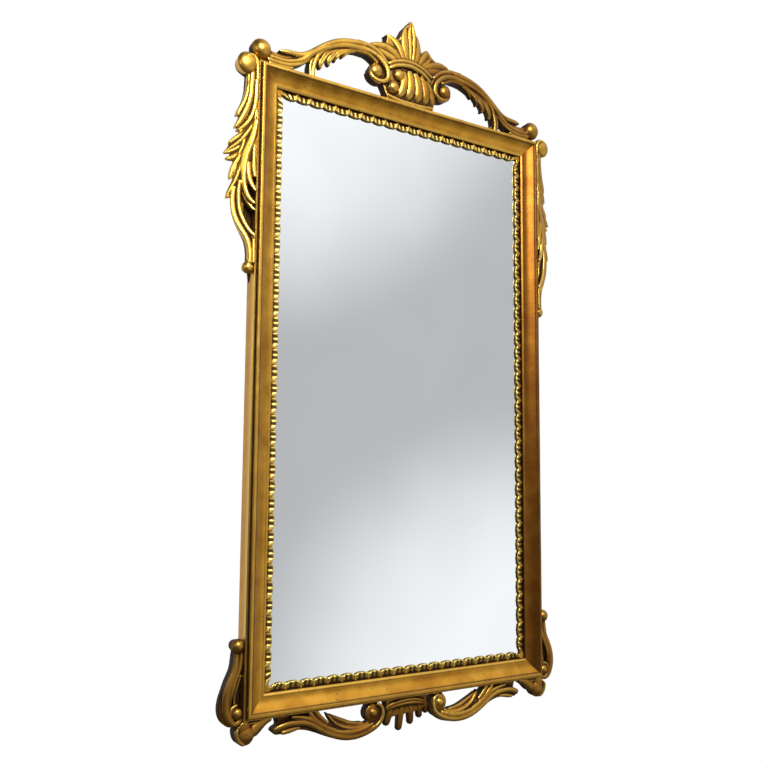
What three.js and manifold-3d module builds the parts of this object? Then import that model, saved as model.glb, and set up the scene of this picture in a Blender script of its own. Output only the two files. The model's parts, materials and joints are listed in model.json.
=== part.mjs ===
import * as THREE from "three";
import { mergeVertices } from "three/addons/utils/BufferGeometryUtils.js";
import Module from "manifold-3d";

// A carved giltwood pier mirror, in millimetres. x runs to the right, y towards the wall and z up.
// Inside the model, x = 0 is the centre line, z = 0 is half the moulding's height, and a depth of 0 is the
// plane of the moulding's front lip. The outer group puts the origin on the top rail's back, where it meets
// the wall.

// ---------- Driving sizes ----------

// Moulding, measured inwards from the outer edge of its front lip
const lipWidth = 586;
const lipHeight = 1000;
const frameDepth = 32; // lip to wall
const lipLand = 5;
const lipRound = 1.2;
const coveWidth = 22;
const coveStart = 0.6; // depth of the small step from the lip into the cove
const coveDepth = 11.4;
const beadWidth = 4.7;
const beadRise = 1;
const beadDrop = 1.4; // from the cove's end to the bead's inner edge
const baseReveal = 4; // the back frame stands out past the lip by this much
const baseFrontDepth = 7;
const baseChamfer = 1;

// Rebate behind the moulding, and what is stacked in it
const rebateInset = 26;
const shoulderDepth = 16.5;
const slipThickness = 2.4;
const glassThickness = 4;
const fitGap = 0.3; // between pieces that seat on each other
const thinnestTip = 0.6; // half width that a carved leaf tip keeps
const edgePlay = 0.6; // round the glass and the backboard, in the rebate

// Scalloped carving of the sight slip, past the moulding and in front of the slip's flange
const slipShow = 12.6;
const slipCrestAt = 4.3;
const slipCrestRise = 2.4;
const slipNotchRise = 1.2;
const tabPitch = 25.4;
const notchDepth = 4.2;

// Joinery
const splineThickness = 4;
const splineAcross = 18;
const splineMargin = 6; // from the moulding's edge and from the rebate
const dowelRadius = 2.5;
const dowelInFrame = 11;
const dowelInCarving = 10;
const dowelInFoot = 8;
const dowelOffWall = 10;
const sideDowelOffWall = 6;
const holeClearance = 0.3;

// Carvings
const carvingOffWall = 2;
const crestHeight = 157; // palmette tip above the top rail
const cartoucheHalfWidth = 104; // to its joints with the arms
const bossOverhang = 14; // corner boss past the lip's edge
const bossRadius = 16.5;
const apronDrop = 53.5; // lowest leaf below the bottom rail
const apronVoluteX = 70;
const apronTipInset = 40; // leaf tip inside the lip's edge
const fanHalfWidth = 40;
const fanDrop = 52;
const footDrop = 37;
const footLength = 57;
const footOverhang = 11; // past the frame's side
const dropOut = 50; // widest leaf tip out from the stile
const dropLength = 340;
const lowerOut = 37; // S-scroll out from the stile
const lowerLength = 124;

// Hangers
const hangerBelowLip = 250;
const strapWidth = 16;
const strapThickness = 1.5;
const strapBelowRing = 39;
const strapScrewSpacing = 18;
const strapScrewFromEnd = 10;
const ringWire = 1.5;
const ringInnerWidth = 24;
const ringInnerHeight = 14;
const ringClearance = 0.35;
const hangerScrewHead = 3.6;
const hangerScrewShank = 1.7;
const hangerScrewLength = 14;
const headHeight = 2;

// Turn buttons
const buttonThickness = 2;
const buttonHalfWidth = 6;
const buttonReach = 22;
const buttonTail = 7;
const buttonFromRebate = 6;
const buttonFromCorner = 170; // down or up from the lip's corner
const buttonScrewShank = 1.7;
const buttonScrewHead = 3.6;
const buttonScrewLength = 16;

// ---------- Sizes that follow ----------

const halfWidth = lipWidth / 2;
const halfHeight = lipHeight / 2;
const sideFace = halfWidth + baseReveal;
const topFace = halfHeight + baseReveal;
const mouldingWidth = lipLand + coveWidth + beadWidth;
const sightInset = mouldingWidth + slipShow;
const rebateSide = halfWidth - rebateInset;
const rebateTop = halfHeight - rebateInset;
const originHeight = (topFace + rebateTop) / 2; // the middle of the top rail's back
const slipFront = shoulderDepth + fitGap;
const slipBack = slipFront + slipThickness;
const glassFront = slipBack + fitGap;
const boardFront = glassFront + glassThickness + fitGap;
const carvingBack = frameDepth - carvingOffWall;
const dowelDepth = frameDepth - dowelOffWall;
const sideDowelDepth = frameDepth - sideDowelOffWall;

// ---------- Finishes ----------

const finish = (color, roughness, metalness) =>
  new THREE.MeshStandardMaterial({ color, roughness, metalness });
const gilding = finish(0xb08a30, 0.38, 0.85);
const carvedGilding = finish(0xc09a3c, 0.34, 0.85);
const silvered = finish(0xd6d9dc, 0.03, 1);
const rawWood = finish(0xa98558, 0.8, 0);
const steel = finish(0x9a9a98, 0.4, 0.9);
const brass = finish(0xb59a55, 0.35, 0.9);

// ---------- Solids ----------

const wasm = await Module();
wasm.setup();

// A closed geometry as a solid. Its faces are turned to point out, whichever way it was wound.
function solid(geometry) {
  const bare = new THREE.BufferGeometry().setAttribute(
    "position",
    (geometry.index ? geometry.toNonIndexed() : geometry).getAttribute("position"),
  );
  const merged = mergeVertices(bare, 1e-4);
  const triVerts = new Uint32Array(merged.index.array);
  const vertProperties = new Float32Array(merged.attributes.position.array);
  const make = () => new wasm.Manifold(new wasm.Mesh({ numProp: 3, vertProperties, triVerts }));
  const made = make();
  if (made.volume() > 0) return made;
  for (let i = 0; i < triVerts.length; i += 3) {
    [triVerts[i + 1], triVerts[i + 2]] = [triVerts[i + 2], triVerts[i + 1]];
  }
  return make();
}

function geometryOf(body) {
  const mesh = body.getMesh();
  const positions = new Float32Array(mesh.numVert * 3);
  for (let i = 0; i < mesh.numVert; i++) {
    positions.set(mesh.vertProperties.subarray(i * mesh.numProp, i * mesh.numProp + 3), i * 3);
  }
  const indexed = new THREE.BufferGeometry()
    .setAttribute("position", new THREE.BufferAttribute(positions, 3))
    .setIndex(new THREE.BufferAttribute(new Uint32Array(mesh.triVerts), 1));
  const geometry = indexed.toNonIndexed();
  geometry.computeVertexNormals();
  return geometry;
}

const union = (bodies) => bodies.reduce((whole, body) => whole.add(body));
const without = (body, cuts) => cuts.reduce((left, cut) => left.subtract(cut), body);

const model = new THREE.Group();
model.position.set(0, -frameDepth, -originHeight);

function node(name, body, material) {
  const mesh = new THREE.Mesh(geometryOf(body), material);
  mesh.name = name;
  model.add(mesh);
  return mesh;
}

// A right-hand piece and its mirror image on the left
function pair(name, body, material) {
  const right = node(name + "_right", body, material);
  const left = right.clone();
  left.name = name + "_left";
  left.scale.x = -1;
  model.add(left);
}

// A closed geometry from bare corner positions, three to a face
const fromCorners = (positions) =>
  new THREE.BufferGeometry().setAttribute("position", new THREE.Float32BufferAttribute(positions, 3));

// A closed body from rows of { along, point }. The rows go once round the section, each may have its own
// number of points, and the two ends are closed flat. Each row has a place in a flat picture of the section.
function lofted(rows, flats) {
  const positions = [];
  const face = (...corners) => corners.forEach(({ point }) => positions.push(...point));
  rows.forEach((row, r) => {
    const next = rows[(r + 1) % rows.length];
    let i = 0;
    let j = 0;
    while (i < row.length - 1 || j < next.length - 1) {
      const ahead = next[Math.min(j + 1, next.length - 1)];
      const rowIsBehind = i < row.length - 1 && row[i + 1].along <= ahead.along;
      if (j === next.length - 1 || rowIsBehind) {
        face(row[i], next[j], row[i + 1]);
        i++;
      } else {
        face(row[i], next[j], next[j + 1]);
        j++;
      }
    }
  });
  const area = THREE.ShapeUtils.area(flats);
  THREE.ShapeUtils.triangulateShape(flats, []).forEach(([a, b, c]) => {
    const sameWay = THREE.ShapeUtils.area([flats[a], flats[b], flats[c]]) * area > 0;
    const [second, third] = sameWay ? [b, c] : [c, b];
    face(rows[a][0], rows[third][0], rows[second][0]);
    face(rows[a].at(-1), rows[second].at(-1), rows[third].at(-1));
  });
  return solid(fromCorners(positions));
}

const mitreGap = fitGap / Math.SQRT2;
const shortestEnd = 1; // between a bar's mitre and the nearest stop along it

// A bar along u with a section of [inset, depth] rows, mitred at both ends. Each row may give its own stops
// along the bar, so that a carved edge has more of them than a plain one. A row's place at its ends is
// at(null).
function mitredBar(rows, halfLength, place) {
  const lines = rows.map(({ at, stops = [] }) => {
    const reach = halfLength - at(null)[0] - mitreGap;
    const inner = stops.filter((u) => Math.abs(u) < reach - shortestEnd);
    const spot = (along, section) => ({ along, point: place(along, ...section) });
    return [spot(-reach, at(null)), ...inner.map((u) => spot(u, at(u))), spot(reach, at(null))];
  });
  return lofted(lines, rows.map(({ at }) => new THREE.Vector2(...at(null))));
}

// How a bar's own (along, inset, depth) turns into x, y and z on each side of the frame
const sides = {
  top: { halfLength: halfWidth, place: (u, inset, depth) => [u, depth, halfHeight - inset] },
  bottom: { halfLength: halfWidth, place: (u, inset, depth) => [-u, depth, inset - halfHeight] },
  left: { halfLength: halfHeight, place: (u, inset, depth) => [inset - halfWidth, depth, u] },
  right: { halfLength: halfHeight, place: (u, inset, depth) => [halfWidth - inset, depth, -u] },
};

// A box from its middle, its sizes and a turn about y
function block(middle, size, turnAboutY = 0) {
  const geometry = new THREE.BoxGeometry(...size).rotateY(turnAboutY).translate(...middle);
  return solid(geometry);
}

// A round bar between two points
function rod(from, to, radius, sidesRound = 8) {
  const start = new THREE.Vector3(...from);
  const run = new THREE.Vector3(...to).sub(start);
  const turn = new THREE.Quaternion().setFromUnitVectors(new THREE.Vector3(0, 1, 0), run.clone().normalize());
  const geometry = new THREE.CylinderGeometry(radius, radius, run.length(), sidesRound)
    .applyQuaternion(turn)
    .translate(...start.addScaledVector(run, 0.5).toArray());
  return solid(geometry);
}

// ---------- The moulding ----------

// Outline of the moulding as [inset, depth], from the wall round the outside to the rebate
function mouldingOutline() {
  const coveSteps = 7;
  const beadSteps = 4;
  const cove = Array.from({ length: coveSteps + 1 }, (_, i) => {
    const t = i / coveSteps;
    return [lipLand + coveWidth * t, coveStart + (coveDepth - coveStart) * Math.sin((t * Math.PI) / 2)];
  });
  const bead = Array.from({ length: beadSteps }, (_, i) => {
    const angle = ((i + 1) / beadSteps) * Math.PI * 0.5;
    return [
      lipLand + coveWidth + beadWidth * (1 - Math.cos(angle)),
      coveDepth - beadRise * Math.sin(2 * angle) + beadDrop * (1 - Math.cos(angle)),
    ];
  });
  return [
    [-baseReveal, frameDepth],
    [-baseReveal, baseFrontDepth + baseChamfer],
    [-baseReveal + baseChamfer, baseFrontDepth],
    [lipRound / 2, baseFrontDepth],
    [0, lipRound],
    [lipRound * 0.3, lipRound * 0.3],
    [lipRound, 0],
    [lipLand - lipRound, 0],
    ...cove,
    ...bead,
    [mouldingWidth, shoulderDepth],
    [rebateInset, shoulderDepth],
    [rebateInset, frameDepth],
  ];
}

const moulding = mouldingOutline().map((point) => ({ at: () => point }));

// A spline across a corner's mitre, or with a clearance the slot for it
function spline(cornerX, cornerZ, clearance) {
  const middle = rebateInset / 2;
  const long = (rebateInset - 2 * splineMargin) * Math.SQRT2;
  return block(
    [cornerX * (halfWidth - middle), (shoulderDepth + frameDepth) / 2, cornerZ * (halfHeight - middle)],
    [long + 2 * clearance, splineThickness + 2 * clearance, splineAcross + 2 * clearance],
    (-cornerX * cornerZ * Math.PI) / 4,
  );
}

const corners = [
  { name: "top_left", x: -1, z: 1 },
  { name: "top_right", x: 1, z: 1 },
  { name: "bottom_left", x: -1, z: -1 },
  { name: "bottom_right", x: 1, z: -1 },
];

// ---------- Where the carvings lie ----------

// The carvings' points are drawn for these sizes, and stretch from them to the driving sizes
const drawn = {
  crestHeight: 157,
  cartouche: 104,
  arm: 203,
  apronDrop: 53.5,
  apron: 183,
  apronVolute: 24,
  fan: 40,
  fanDrop: 52,
  footDrop: 37,
  foot: 57,
  dropOut: 50,
  drop: 340,
  lowerOut: 37,
  lower: 124,
};

const seatTop = topFace + fitGap;
const seatSide = sideFace + fitGap;

// Crest: height above the top rail, distance from the centre line, and distance from the joint along an arm
const rise = (z) => seatTop + (z * crestHeight) / drawn.crestHeight;
const across = (x) => (x * cartoucheHalfWidth) / drawn.cartouche;
const armLength = halfWidth + bossOverhang - cartoucheHalfWidth;
const alongArm = (s) => cartoucheHalfWidth + (s * armLength) / drawn.arm;

// Apron: distance from the volute's eye, drop below the bottom rail, and the fan's distance from the centre
// line. The volute keeps its size, and the arm past it stretches.
const apronStretch =
  (halfWidth - apronTipInset - apronVoluteX - drawn.apronVolute) / (drawn.apron - drawn.apronVolute);
const alongApron = (s) =>
  apronVoluteX + Math.min(s, drawn.apronVolute) + Math.max(0, s - drawn.apronVolute) * apronStretch;
const hang = (z) => -seatTop - (z * apronDrop) / drawn.apronDrop;
const fanAcross = (x) => (x * fanHalfWidth) / drawn.fan;
const fanHang = (z) => -seatTop - (z * fanDrop) / drawn.fanDrop;

// Foot: distance in from its outer side, which stands out past the frame, and drop below the bottom rail
const footIn = (s) => sideFace + footOverhang - (s * footLength) / drawn.foot;
const footHang = (z) => -seatTop - (z * footDrop) / drawn.footDrop;

// Side drop and S-scroll: distance out from the stile, and down from the top corner or up from the bottom one
const dropAcross = (o) => seatSide + (o * dropOut) / drawn.dropOut;
const dropDown = (d) => halfHeight - (d * dropLength) / drawn.drop;
const lowerAcross = (o) => seatSide + (o * lowerOut) / drawn.lowerOut;
const lowerUp = (h) => (h * lowerLength) / drawn.lower - halfHeight;

// ---------- Dowels ----------

// A dowel crosses a seat at a point, along a direction that leads into the carving.
// What it is let into gets a hole that is wider and deeper by the clearance.
function dowelAt(seat, into, length = dowelInCarving) {
  const shift = (distance) => seat.map((value, axis) => value + into[axis] * distance);
  return {
    pin: rod(shift(-dowelInFrame), shift(length), dowelRadius),
    hole: rod(
      shift(-dowelInFrame - holeClearance),
      shift(length + holeClearance),
      dowelRadius + holeClearance,
    ),
  };
}

const up = [0, 0, 1];
const down = [0, 0, -1];
const outwards = [1, 0, 0];
const mirrorX = ([x, y, z]) => [-x, y, z];
const strutFoot = 90.5; // of a crest arm's strut, from the joint

// Seats on the right-hand side. Each has its twin on the left.
const dowelSeats = {
  cartouche_dowel: { seat: [across(26), dowelDepth, topFace], into: up },
  crest_outer_dowel: { seat: [alongArm(162), dowelDepth, topFace], into: up },
  crest_strut_dowel: { seat: [alongArm(strutFoot), dowelDepth, topFace], into: up },
  drop_upper_dowel: { seat: [sideFace, sideDowelDepth, dropDown(45)], into: outwards },
  drop_lower_dowel: { seat: [sideFace, sideDowelDepth, dropDown(155)], into: outwards },
  lower_scroll_dowel: { seat: [sideFace, sideDowelDepth, lowerUp(75)], into: outwards },
  foot_dowel: { seat: [footIn(42), dowelDepth, -topFace], into: down, length: dowelInFoot },
  apron_dowel: { seat: [alongApron(130), dowelDepth, -topFace], into: down },
};

const dowels = Object.fromEntries(
  Object.entries(dowelSeats).map(([name, { seat, into, length }]) => [
    name,
    { right: dowelAt(seat, into, length), left: dowelAt(mirrorX(seat), mirrorX(into), length) },
  ]),
);
const fanDowel = dowelAt([0, dowelDepth, -topFace], down);

const holesOf = (names, side) => names.map((name) => dowels[name][side].hole);

// ---------- Carving ----------

// Sections of a strand as [across, back from the ridge], from one foot over the ridge to the other
const roundSection = [
  [-1, 1],
  [-1, 0.5],
  [-0.68, 0.14],
  [0, 0],
  [0.68, 0.14],
  [1, 0.5],
  [1, 1],
];
const leafSection = [
  [-1, 1],
  [-0.92, 0.4],
  [0, 0],
  [0.92, 0.4],
  [1, 1],
];

// A carved strand follows a curve through [x, z, half width, ridge depth] points. Its section stands square
// to the curve, has its ridge in front and its feet on the carving's flat back.
function strand(points, steps, section = leafSection) {
  const route = new THREE.CatmullRomCurve3(
    points.map(([x, z]) => new THREE.Vector3(x, 0, z)),
    false,
    "centripetal",
  );
  const girth = new THREE.CatmullRomCurve3(
    points.map(([, , width, ridge]) => new THREE.Vector3(width, ridge, 0)),
    false,
    "catmullrom",
    0.5,
  );
  const rows = section.map(() => []);
  for (let i = 0; i <= steps; i++) {
    const centre = route.getPoint(i / steps);
    const tangent = route.getTangent(i / steps);
    const { x: width, y: ridge } = girth.getPoint(i / steps);
    section.forEach(([side, fall], k) => {
      const offset = side * Math.max(width, thinnestTip);
      const depth = ridge + (carvingBack - ridge) * fall;
      const point = [centre.x - tangent.z * offset, depth, centre.z + tangent.x * offset];
      rows[k].push({ along: i, point });
    });
  }
  return lofted(rows, section.map(([side, fall]) => new THREE.Vector2(side, fall)));
}

// A strand whose points are first put in place
const placed = (points, toX, toZ) => points.map(([x, z, ...girth]) => [toX(x), toZ(z), ...girth]);

// A straight-sided round pillar along the depth, from its front to its back
function pillar(x, z, radius, front, back, sidesRound = 12) {
  return rod([x, front, z], [x, back, z], radius, sidesRound);
}

// A round boss with a domed front, on the carving's back
function boss(x, z, radius, front, sidesRound = 12) {
  const dome = Math.min(radius * 0.8, (carvingBack - front) * 0.6);
  const profile = [
    [0, carvingBack],
    [radius, carvingBack],
    [radius, front + dome],
    [radius * 0.74, front + dome * 0.32],
    [0, front],
  ].map(([r, depth]) => new THREE.Vector2(r, depth));
  return solid(new THREE.LatheGeometry(profile, sidesRound).translate(x, 0, z));
}

// The ground that carries the strands: a board from a front depth to the carving's back, with a smooth
// outline when it is given a number of points round, and a straight-sided one when it isn't
function ground(points, front, pointsRound) {
  let outline = points.map(([x, z]) => new THREE.Vector3(x, z, 0));
  if (pointsRound) {
    outline = new THREE.CatmullRomCurve3(outline, true, "centripetal").getPoints(pointsRound).slice(0, -1);
  }
  const shape = new THREE.Shape(outline.map(({ x, y }) => new THREE.Vector2(x, y)));
  const geometry = new THREE.ExtrudeGeometry(shape, { depth: carvingBack - front, bevelEnabled: false });
  return solid(geometry.rotateX(Math.PI / 2).translate(0, carvingBack, 0));
}

// Points of a volute about a centre, whose radius, half width and ridge depth change evenly along the turn
function volute(cx, cz, { from, turn, radius, width, ridge, count }) {
  return Array.from({ length: count + 1 }, (_, i) => {
    const t = i / count;
    const angle = from + turn * t;
    const mix = ([a, b]) => a + (b - a) * t;
    return [cx + mix(radius) * Math.cos(angle), cz + mix(radius) * Math.sin(angle), mix(width), mix(ridge)];
  });
}

// What reaches over a seat is cut off level with the frame's faces
const frameBlock = block([0, frameDepth, 0], [2 * seatSide, 4 * frameDepth, 2 * seatTop]);

// ---------- Crest ----------

const jointReach = fitGap / 2;
const cartoucheBlock = block(
  [0, frameDepth, topFace],
  [2 * (cartoucheHalfWidth + jointReach), 4 * frameDepth, 2 * lipWidth],
);

function cartouche() {
  const onCartouche = (points) => placed(points, across, rise);
  const scroll = strand(
    onCartouche([
      [105, 76, 12.5, 8],
      [90, 77, 12, 7],
      [73, 71, 11, 6],
      [56, 61, 8.5, 5],
      [49.5, 44, 5.5, 5],
      [56, 31, 4.5, 6],
      [69, 27.5, 4, 7],
      [80, 33, 3.4, 8],
    ]),
    13,
    roundSection,
  );
  const petals = [
    [[2, 78, 9, 9], [1, 110, 11, 7], [0, 140, 7, 9], [0, 157, 0, 13]],
    [[8, 78, 8, 11], [13, 100, 8, 9], [15, 122, 6, 11], [13, 138, 0, 15]],
    [[14, 76, 8, 12], [22, 94, 8, 10], [27, 110, 6, 12], [25, 122, 0, 16]],
    [[22, 76, 7, 12], [33, 92, 7, 11], [41, 105, 6, 13], [44, 115, 0, 16]],
    [[30, 76, 7, 12], [43, 88, 7, 12], [52, 98, 5.5, 14], [56, 108, 0, 16]],
    [[36, 74, 8, 12], [52, 82, 9, 11], [66, 87, 8, 11], [80, 87, 5, 12]],
  ].map((points) => strand(onCartouche(points), 3));
  const gadroons = [
    [[10, 8, 6.5, 6], [8, 36, 6.5, 4], [7, 60, 5, 9]],
    [[24, 8, 8, 6], [21, 34, 8, 3], [19, 60, 5, 9]],
    [[38, 12, 9, 7], [36, 30, 9, 4], [31, 58, 6, 9]],
  ].map((points) => strand(onCartouche(points), 3));
  const web = ground(
    placed([[0, 66], [44, 66], [72, 84], [50, 100], [22, 108], [0, 126]], across, rise),
    17,
    12,
  );
  const half = [scroll, boss(across(70.5), rise(43), 12, 3), web, ...petals, ...gadroons];
  const band = strand(
    onCartouche([[-44, 62, 4, 6], [-24, 68, 5.5, 4], [0, 71, 6, 3], [24, 68, 5.5, 4], [44, 62, 4, 6]]),
    8,
  );
  const side = [[46, 0], [50, 14], [58, 26], [46, 70]];
  const body = ground(placed([...side, ...side.toReversed().map(([x, z]) => [-x, z])], across, rise), 10);
  const whole = union([body, band, ...half, ...half.map((part) => part.mirror([1, 0, 0]))]);
  const cutToJoints = whole.intersect(
    block([0, frameDepth, topFace], [2 * (cartoucheHalfWidth - jointReach), 4 * frameDepth, 2 * lipWidth]),
  );
  return without(cutToJoints, [
    frameBlock,
    dowels.cartouche_dowel.left.hole,
    dowels.cartouche_dowel.right.hole,
  ]);
}

// The boss over each corner of the frame. The side drop's volute is scribed to it.
const cornerBoss = { x: halfWidth + bossOverhang - bossRadius, z: rise(20) };

function crestScroll() {
  const onArm = (points) => placed(points, alongArm, rise);
  const arm = strand(
    onArm([
      [-1, 76, 12.5, 8],
      [18, 75.5, 12.5, 7],
      [38, 70, 12, 7],
      [58, 60, 11.5, 7],
      [78, 47, 10.5, 8],
      [98, 34, 9.5, 9],
      [118, 23, 9, 9],
      [140, 16, 9, 9],
      [162, 15.5, 9, 9],
      [180, 18, 9, 8],
    ]),
    12,
    roundSection,
  );
  const upperLeaf = strand(
    onArm([[66, 60, 5, 10], [92, 46, 6, 8], [116, 35, 5.5, 8], [138, 32.5, 4.5, 9], [155, 34, 1, 12]]),
    7,
  );
  const strut = strand(onArm([[96, 38, 5, 11], [92, 20, 5.5, 12], [strutFoot, -2, 7, 12]]), 4);
  const hangingLeaves = [
    [[66, 58, 8, 10], [76, 42, 7, 10], [79, 28, 5, 12], [77, 19, 1, 15]],
    [[48, 66, 8, 10], [58, 50, 7, 10], [61, 38, 5, 12], [59, 29, 1, 15]],
    [[34, 70, 8, 10], [43, 58, 6, 11], [47, 48, 4.5, 13], [47, 40, 1, 16]],
    [[18, 70, 8, 10], [29, 60, 6, 11], [35, 53, 4, 13], [37, 46, 1, 16]],
  ].map((points) => strand(onArm(points), 3));
  const toe = ground(placed([[128, -2], [189, -2], [189, 16], [132, 14]], alongArm, rise), 13);
  const cornerDome = boss(cornerBoss.x, cornerBoss.z, bossRadius, 3, 14);
  const parts = [arm, upperLeaf, strut, ...hangingLeaves, toe, cornerDome];
  return without(union(parts), [
    frameBlock,
    cartoucheBlock,
    ...holesOf(["crest_outer_dowel", "crest_strut_dowel"], "right"),
  ]);
}

// ---------- Side drops ----------

// The drop's face leans back from the moulding towards the wall as it goes out
const dropFront = 7;
const dropLean = 22;
const leaning = (out) => dropFront + (dropLean * out) / drawn.dropOut;

function sideDrop() {
  // Points are [out, down, half width], and a strand stands proud of the leaning face
  const leaf = (points, steps, proud = 2) =>
    strand(
      points.map(([out, drop, width]) => [dropAcross(out), dropDown(drop), width, leaning(out) - proud]),
      steps,
    );
  const eye = { x: dropAcross(17.5), z: dropDown(1) };
  const curl = strand(
    volute(eye.x, eye.z, {
      from: -Math.PI * 0.75,
      turn: -Math.PI * 1.75,
      radius: [14, 9],
      width: [5, 3.5],
      ridge: [8, 6],
      count: 8,
    }),
    9,
  );
  const reeds = [
    leaf([[15, 8, 5], [15.5, 32, 4], [15.5, 52, 4], [19, 70, 3.5], [27, 86, 1]], 4),
    leaf([[8, 10, 4.5], [9, 38, 4], [10, 62, 4], [17, 85, 4], [30, 107, 1.4]], 5),
    leaf(
      [[3, 14, 3.5], [3.5, 48, 3.5], [6, 76, 4], [15, 102, 5], [29, 128, 6], [42, 150, 5], [49, 158, 1.6]],
      6,
    ),
  ];
  const leaves = [
    leaf([[4, 76, 4], [8, 115, 5], [13, 150, 6], [24, 178, 6.5], [35, 202, 5.5], [40, 223, 1.8]], 5, 4),
    leaf([[9, 130, 3], [12, 162, 3.5], [18, 200, 4], [23, 238, 4], [17, 264, 3.5], [5, 275, 3]], 6, 4),
    leaf(
      [[26, 195, 4], [31, 220, 5], [32, 248, 5.5], [23, 269, 6], [11, 288, 5], [6, 308, 4.5], [7, 324, 5]],
      7,
      3,
    ),
  ];
  const back = ground(
    placed(
      [
        [-2, 8],
        [16, 20],
        [17, 55],
        [24, 98],
        [40, 150],
        [34, 180],
        [36, 215],
        [29, 260],
        [11, 292],
        [8, 320],
        [-2, 328],
      ],
      dropAcross,
      dropDown,
    ),
    23,
    18,
  );
  const finial = boss(dropAcross(8), dropDown(330), 8.5, 9);
  const parts = [back, boss(eye.x, eye.z, 8, 4), curl, ...reeds, ...leaves, finial];
  const scribed = pillar(cornerBoss.x, cornerBoss.z, bossRadius + fitGap, -frameDepth, 2 * frameDepth, 14);
  const holes = holesOf(["drop_upper_dowel", "drop_lower_dowel"], "right");
  return without(union(parts), [frameBlock, scribed, ...holes]);
}

// ---------- Lower corner scrolls and feet ----------

// The S-scroll and the foot under it meet on a diagonal from the frame's corner. This is what lies past that
// line: the lower side of it for -1, the upper side for 1.
function pastDiagonal(side) {
  const size = lowerLength;
  const shift = (side * (size + fitGap)) / 2 / Math.SQRT2;
  return block([sideFace + shift, frameDepth, shift - topFace], [size, 4 * frameDepth, size], Math.PI / 4);
}

function lowerScroll() {
  const parts = [
    strand(
      placed(
        [
          [8, 104, 6, 10],
          [8.5, 80, 6.5, 11],
          [13, 60, 8, 10],
          [21, 40, 9.5, 10],
          [28, 18, 9, 10],
          [26.5, 3, 7, 9],
          [17, -5.5, 5, 9],
          [6.5, -3, 4, 9],
          [2.5, 9, 3.4, 9],
        ],
        lowerAcross,
        lowerUp,
      ),
      13,
      roundSection,
    ),
    boss(lowerAcross(9), lowerUp(104), 11, 4),
    boss(lowerAcross(13.5), lowerUp(11), 9, 5),
    ground(
      placed([[-2, 100], [10, 85], [20, 45], [28, 15], [18, -3], [-2, -3]], lowerAcross, lowerUp),
      20,
      12,
    ),
  ];
  return without(union(parts), [frameBlock, pastDiagonal(-1), ...holesOf(["lower_scroll_dowel"], "right")]);
}

function cornerFoot() {
  const onFoot = (points) => placed(points, footIn, footHang);
  const parts = [
    strand(onFoot([[8, 4, 7, 9], [7.5, 16, 7.5, 7], [11, 26, 7, 7], [18, 32, 5, 8]]), 6, roundSection),
    strand(onFoot([[58, 4, 4, 12], [46, 7, 6, 10], [34, 13, 8, 9], [25, 22, 8.5, 9], [19, 30, 6, 10]]), 7),
    ground(onFoot([[56, -2], [2, -2], [4, 14], [16, 24], [34, 12], [50, 8]]), 16),
  ];
  return without(union(parts), [frameBlock, pastDiagonal(1), ...holesOf(["foot_dowel"], "right")]);
}

// ---------- Apron ----------

function apronScroll() {
  const onApron = (points) => placed(points, alongApron, hang);
  const arm = strand(
    onApron([
      [177, 20, 6, 12],
      [160, 19, 9, 10],
      [135, 15, 10.5, 9],
      [110, 19, 11, 9],
      [85, 29, 11.5, 8],
      [60, 38, 11.5, 7],
      [35, 42.5, 11, 7],
      [12, 40.5, 10, 6],
      [-8, 34, 8, 6],
      [-18, 22, 5.5, 6],
      [-13, 10, 4, 7],
      [-1, 4.5, 3.6, 8],
      [11, 9, 3.2, 9],
    ]),
    17,
    roundSection,
  );
  const leaves = [
    [[26, 38, 6, 9], [46, 29, 6.5, 9], [66, 19, 5.5, 10], [82, 7.5, 1.2, 13]],
    [[80, 32, 8, 10], [95, 20, 8, 10], [104, 9, 6, 11], [106, -2, 4, 13]],
    [[106, 22, 7, 10], [122, 13, 6, 10], [135, 5, 5, 11], [144, -2, 4, 13]],
    [[178, 13, 4, 13], [162, 10, 6, 12], [144, 8, 6, 12]],
  ].map((points) => strand(onApron(points), 4));
  const parts = [
    arm,
    boss(alongApron(0), hang(17), 11.5, 4),
    ...leaves,
    ground(onApron([[92, -2], [170, -2], [166, 16], [106, 20]]), 16),
    ground(onApron([[-14, -2], [14, -2], [14, 12], [-14, 12]]), 14),
  ];
  return without(union(parts), [frameBlock, ...holesOf(["apron_dowel"], "right")]);
}

function apronFan() {
  const onFan = (points) => placed(points, fanAcross, fanHang);
  const rays = [
    [[-28, 6], [-36, 42]],
    [[-7, 6], [-11, 52]],
    [[9, 6], [14, 46]],
    [[27, 6], [33, 39]],
  ].map(([root, tip]) => strand(onFan([[...root, 8, 15], [...tip, 7, 17]]), 1, roundSection));
  const cap = strand(
    onFan([[-38, 14, 5, 14], [-18, 9, 7, 12], [4, 8, 7.5, 11], [26, 10, 7, 12], [40, 15, 5, 14]]),
    8,
  );
  const root = ground(onFan([[-38, -2], [38, -2], [34, 24], [-34, 24]]), 18);
  return without(union([root, cap, ...rays]), [frameBlock, fanDowel.hole]);
}

// ---------- Glass, backboard and sight slip ----------

function plate(front, thickness) {
  const width = 2 * (rebateSide - edgePlay);
  const height = 2 * (rebateTop - edgePlay);
  return block([0, front + thickness / 2, 0], [width, thickness, height]);
}

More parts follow.
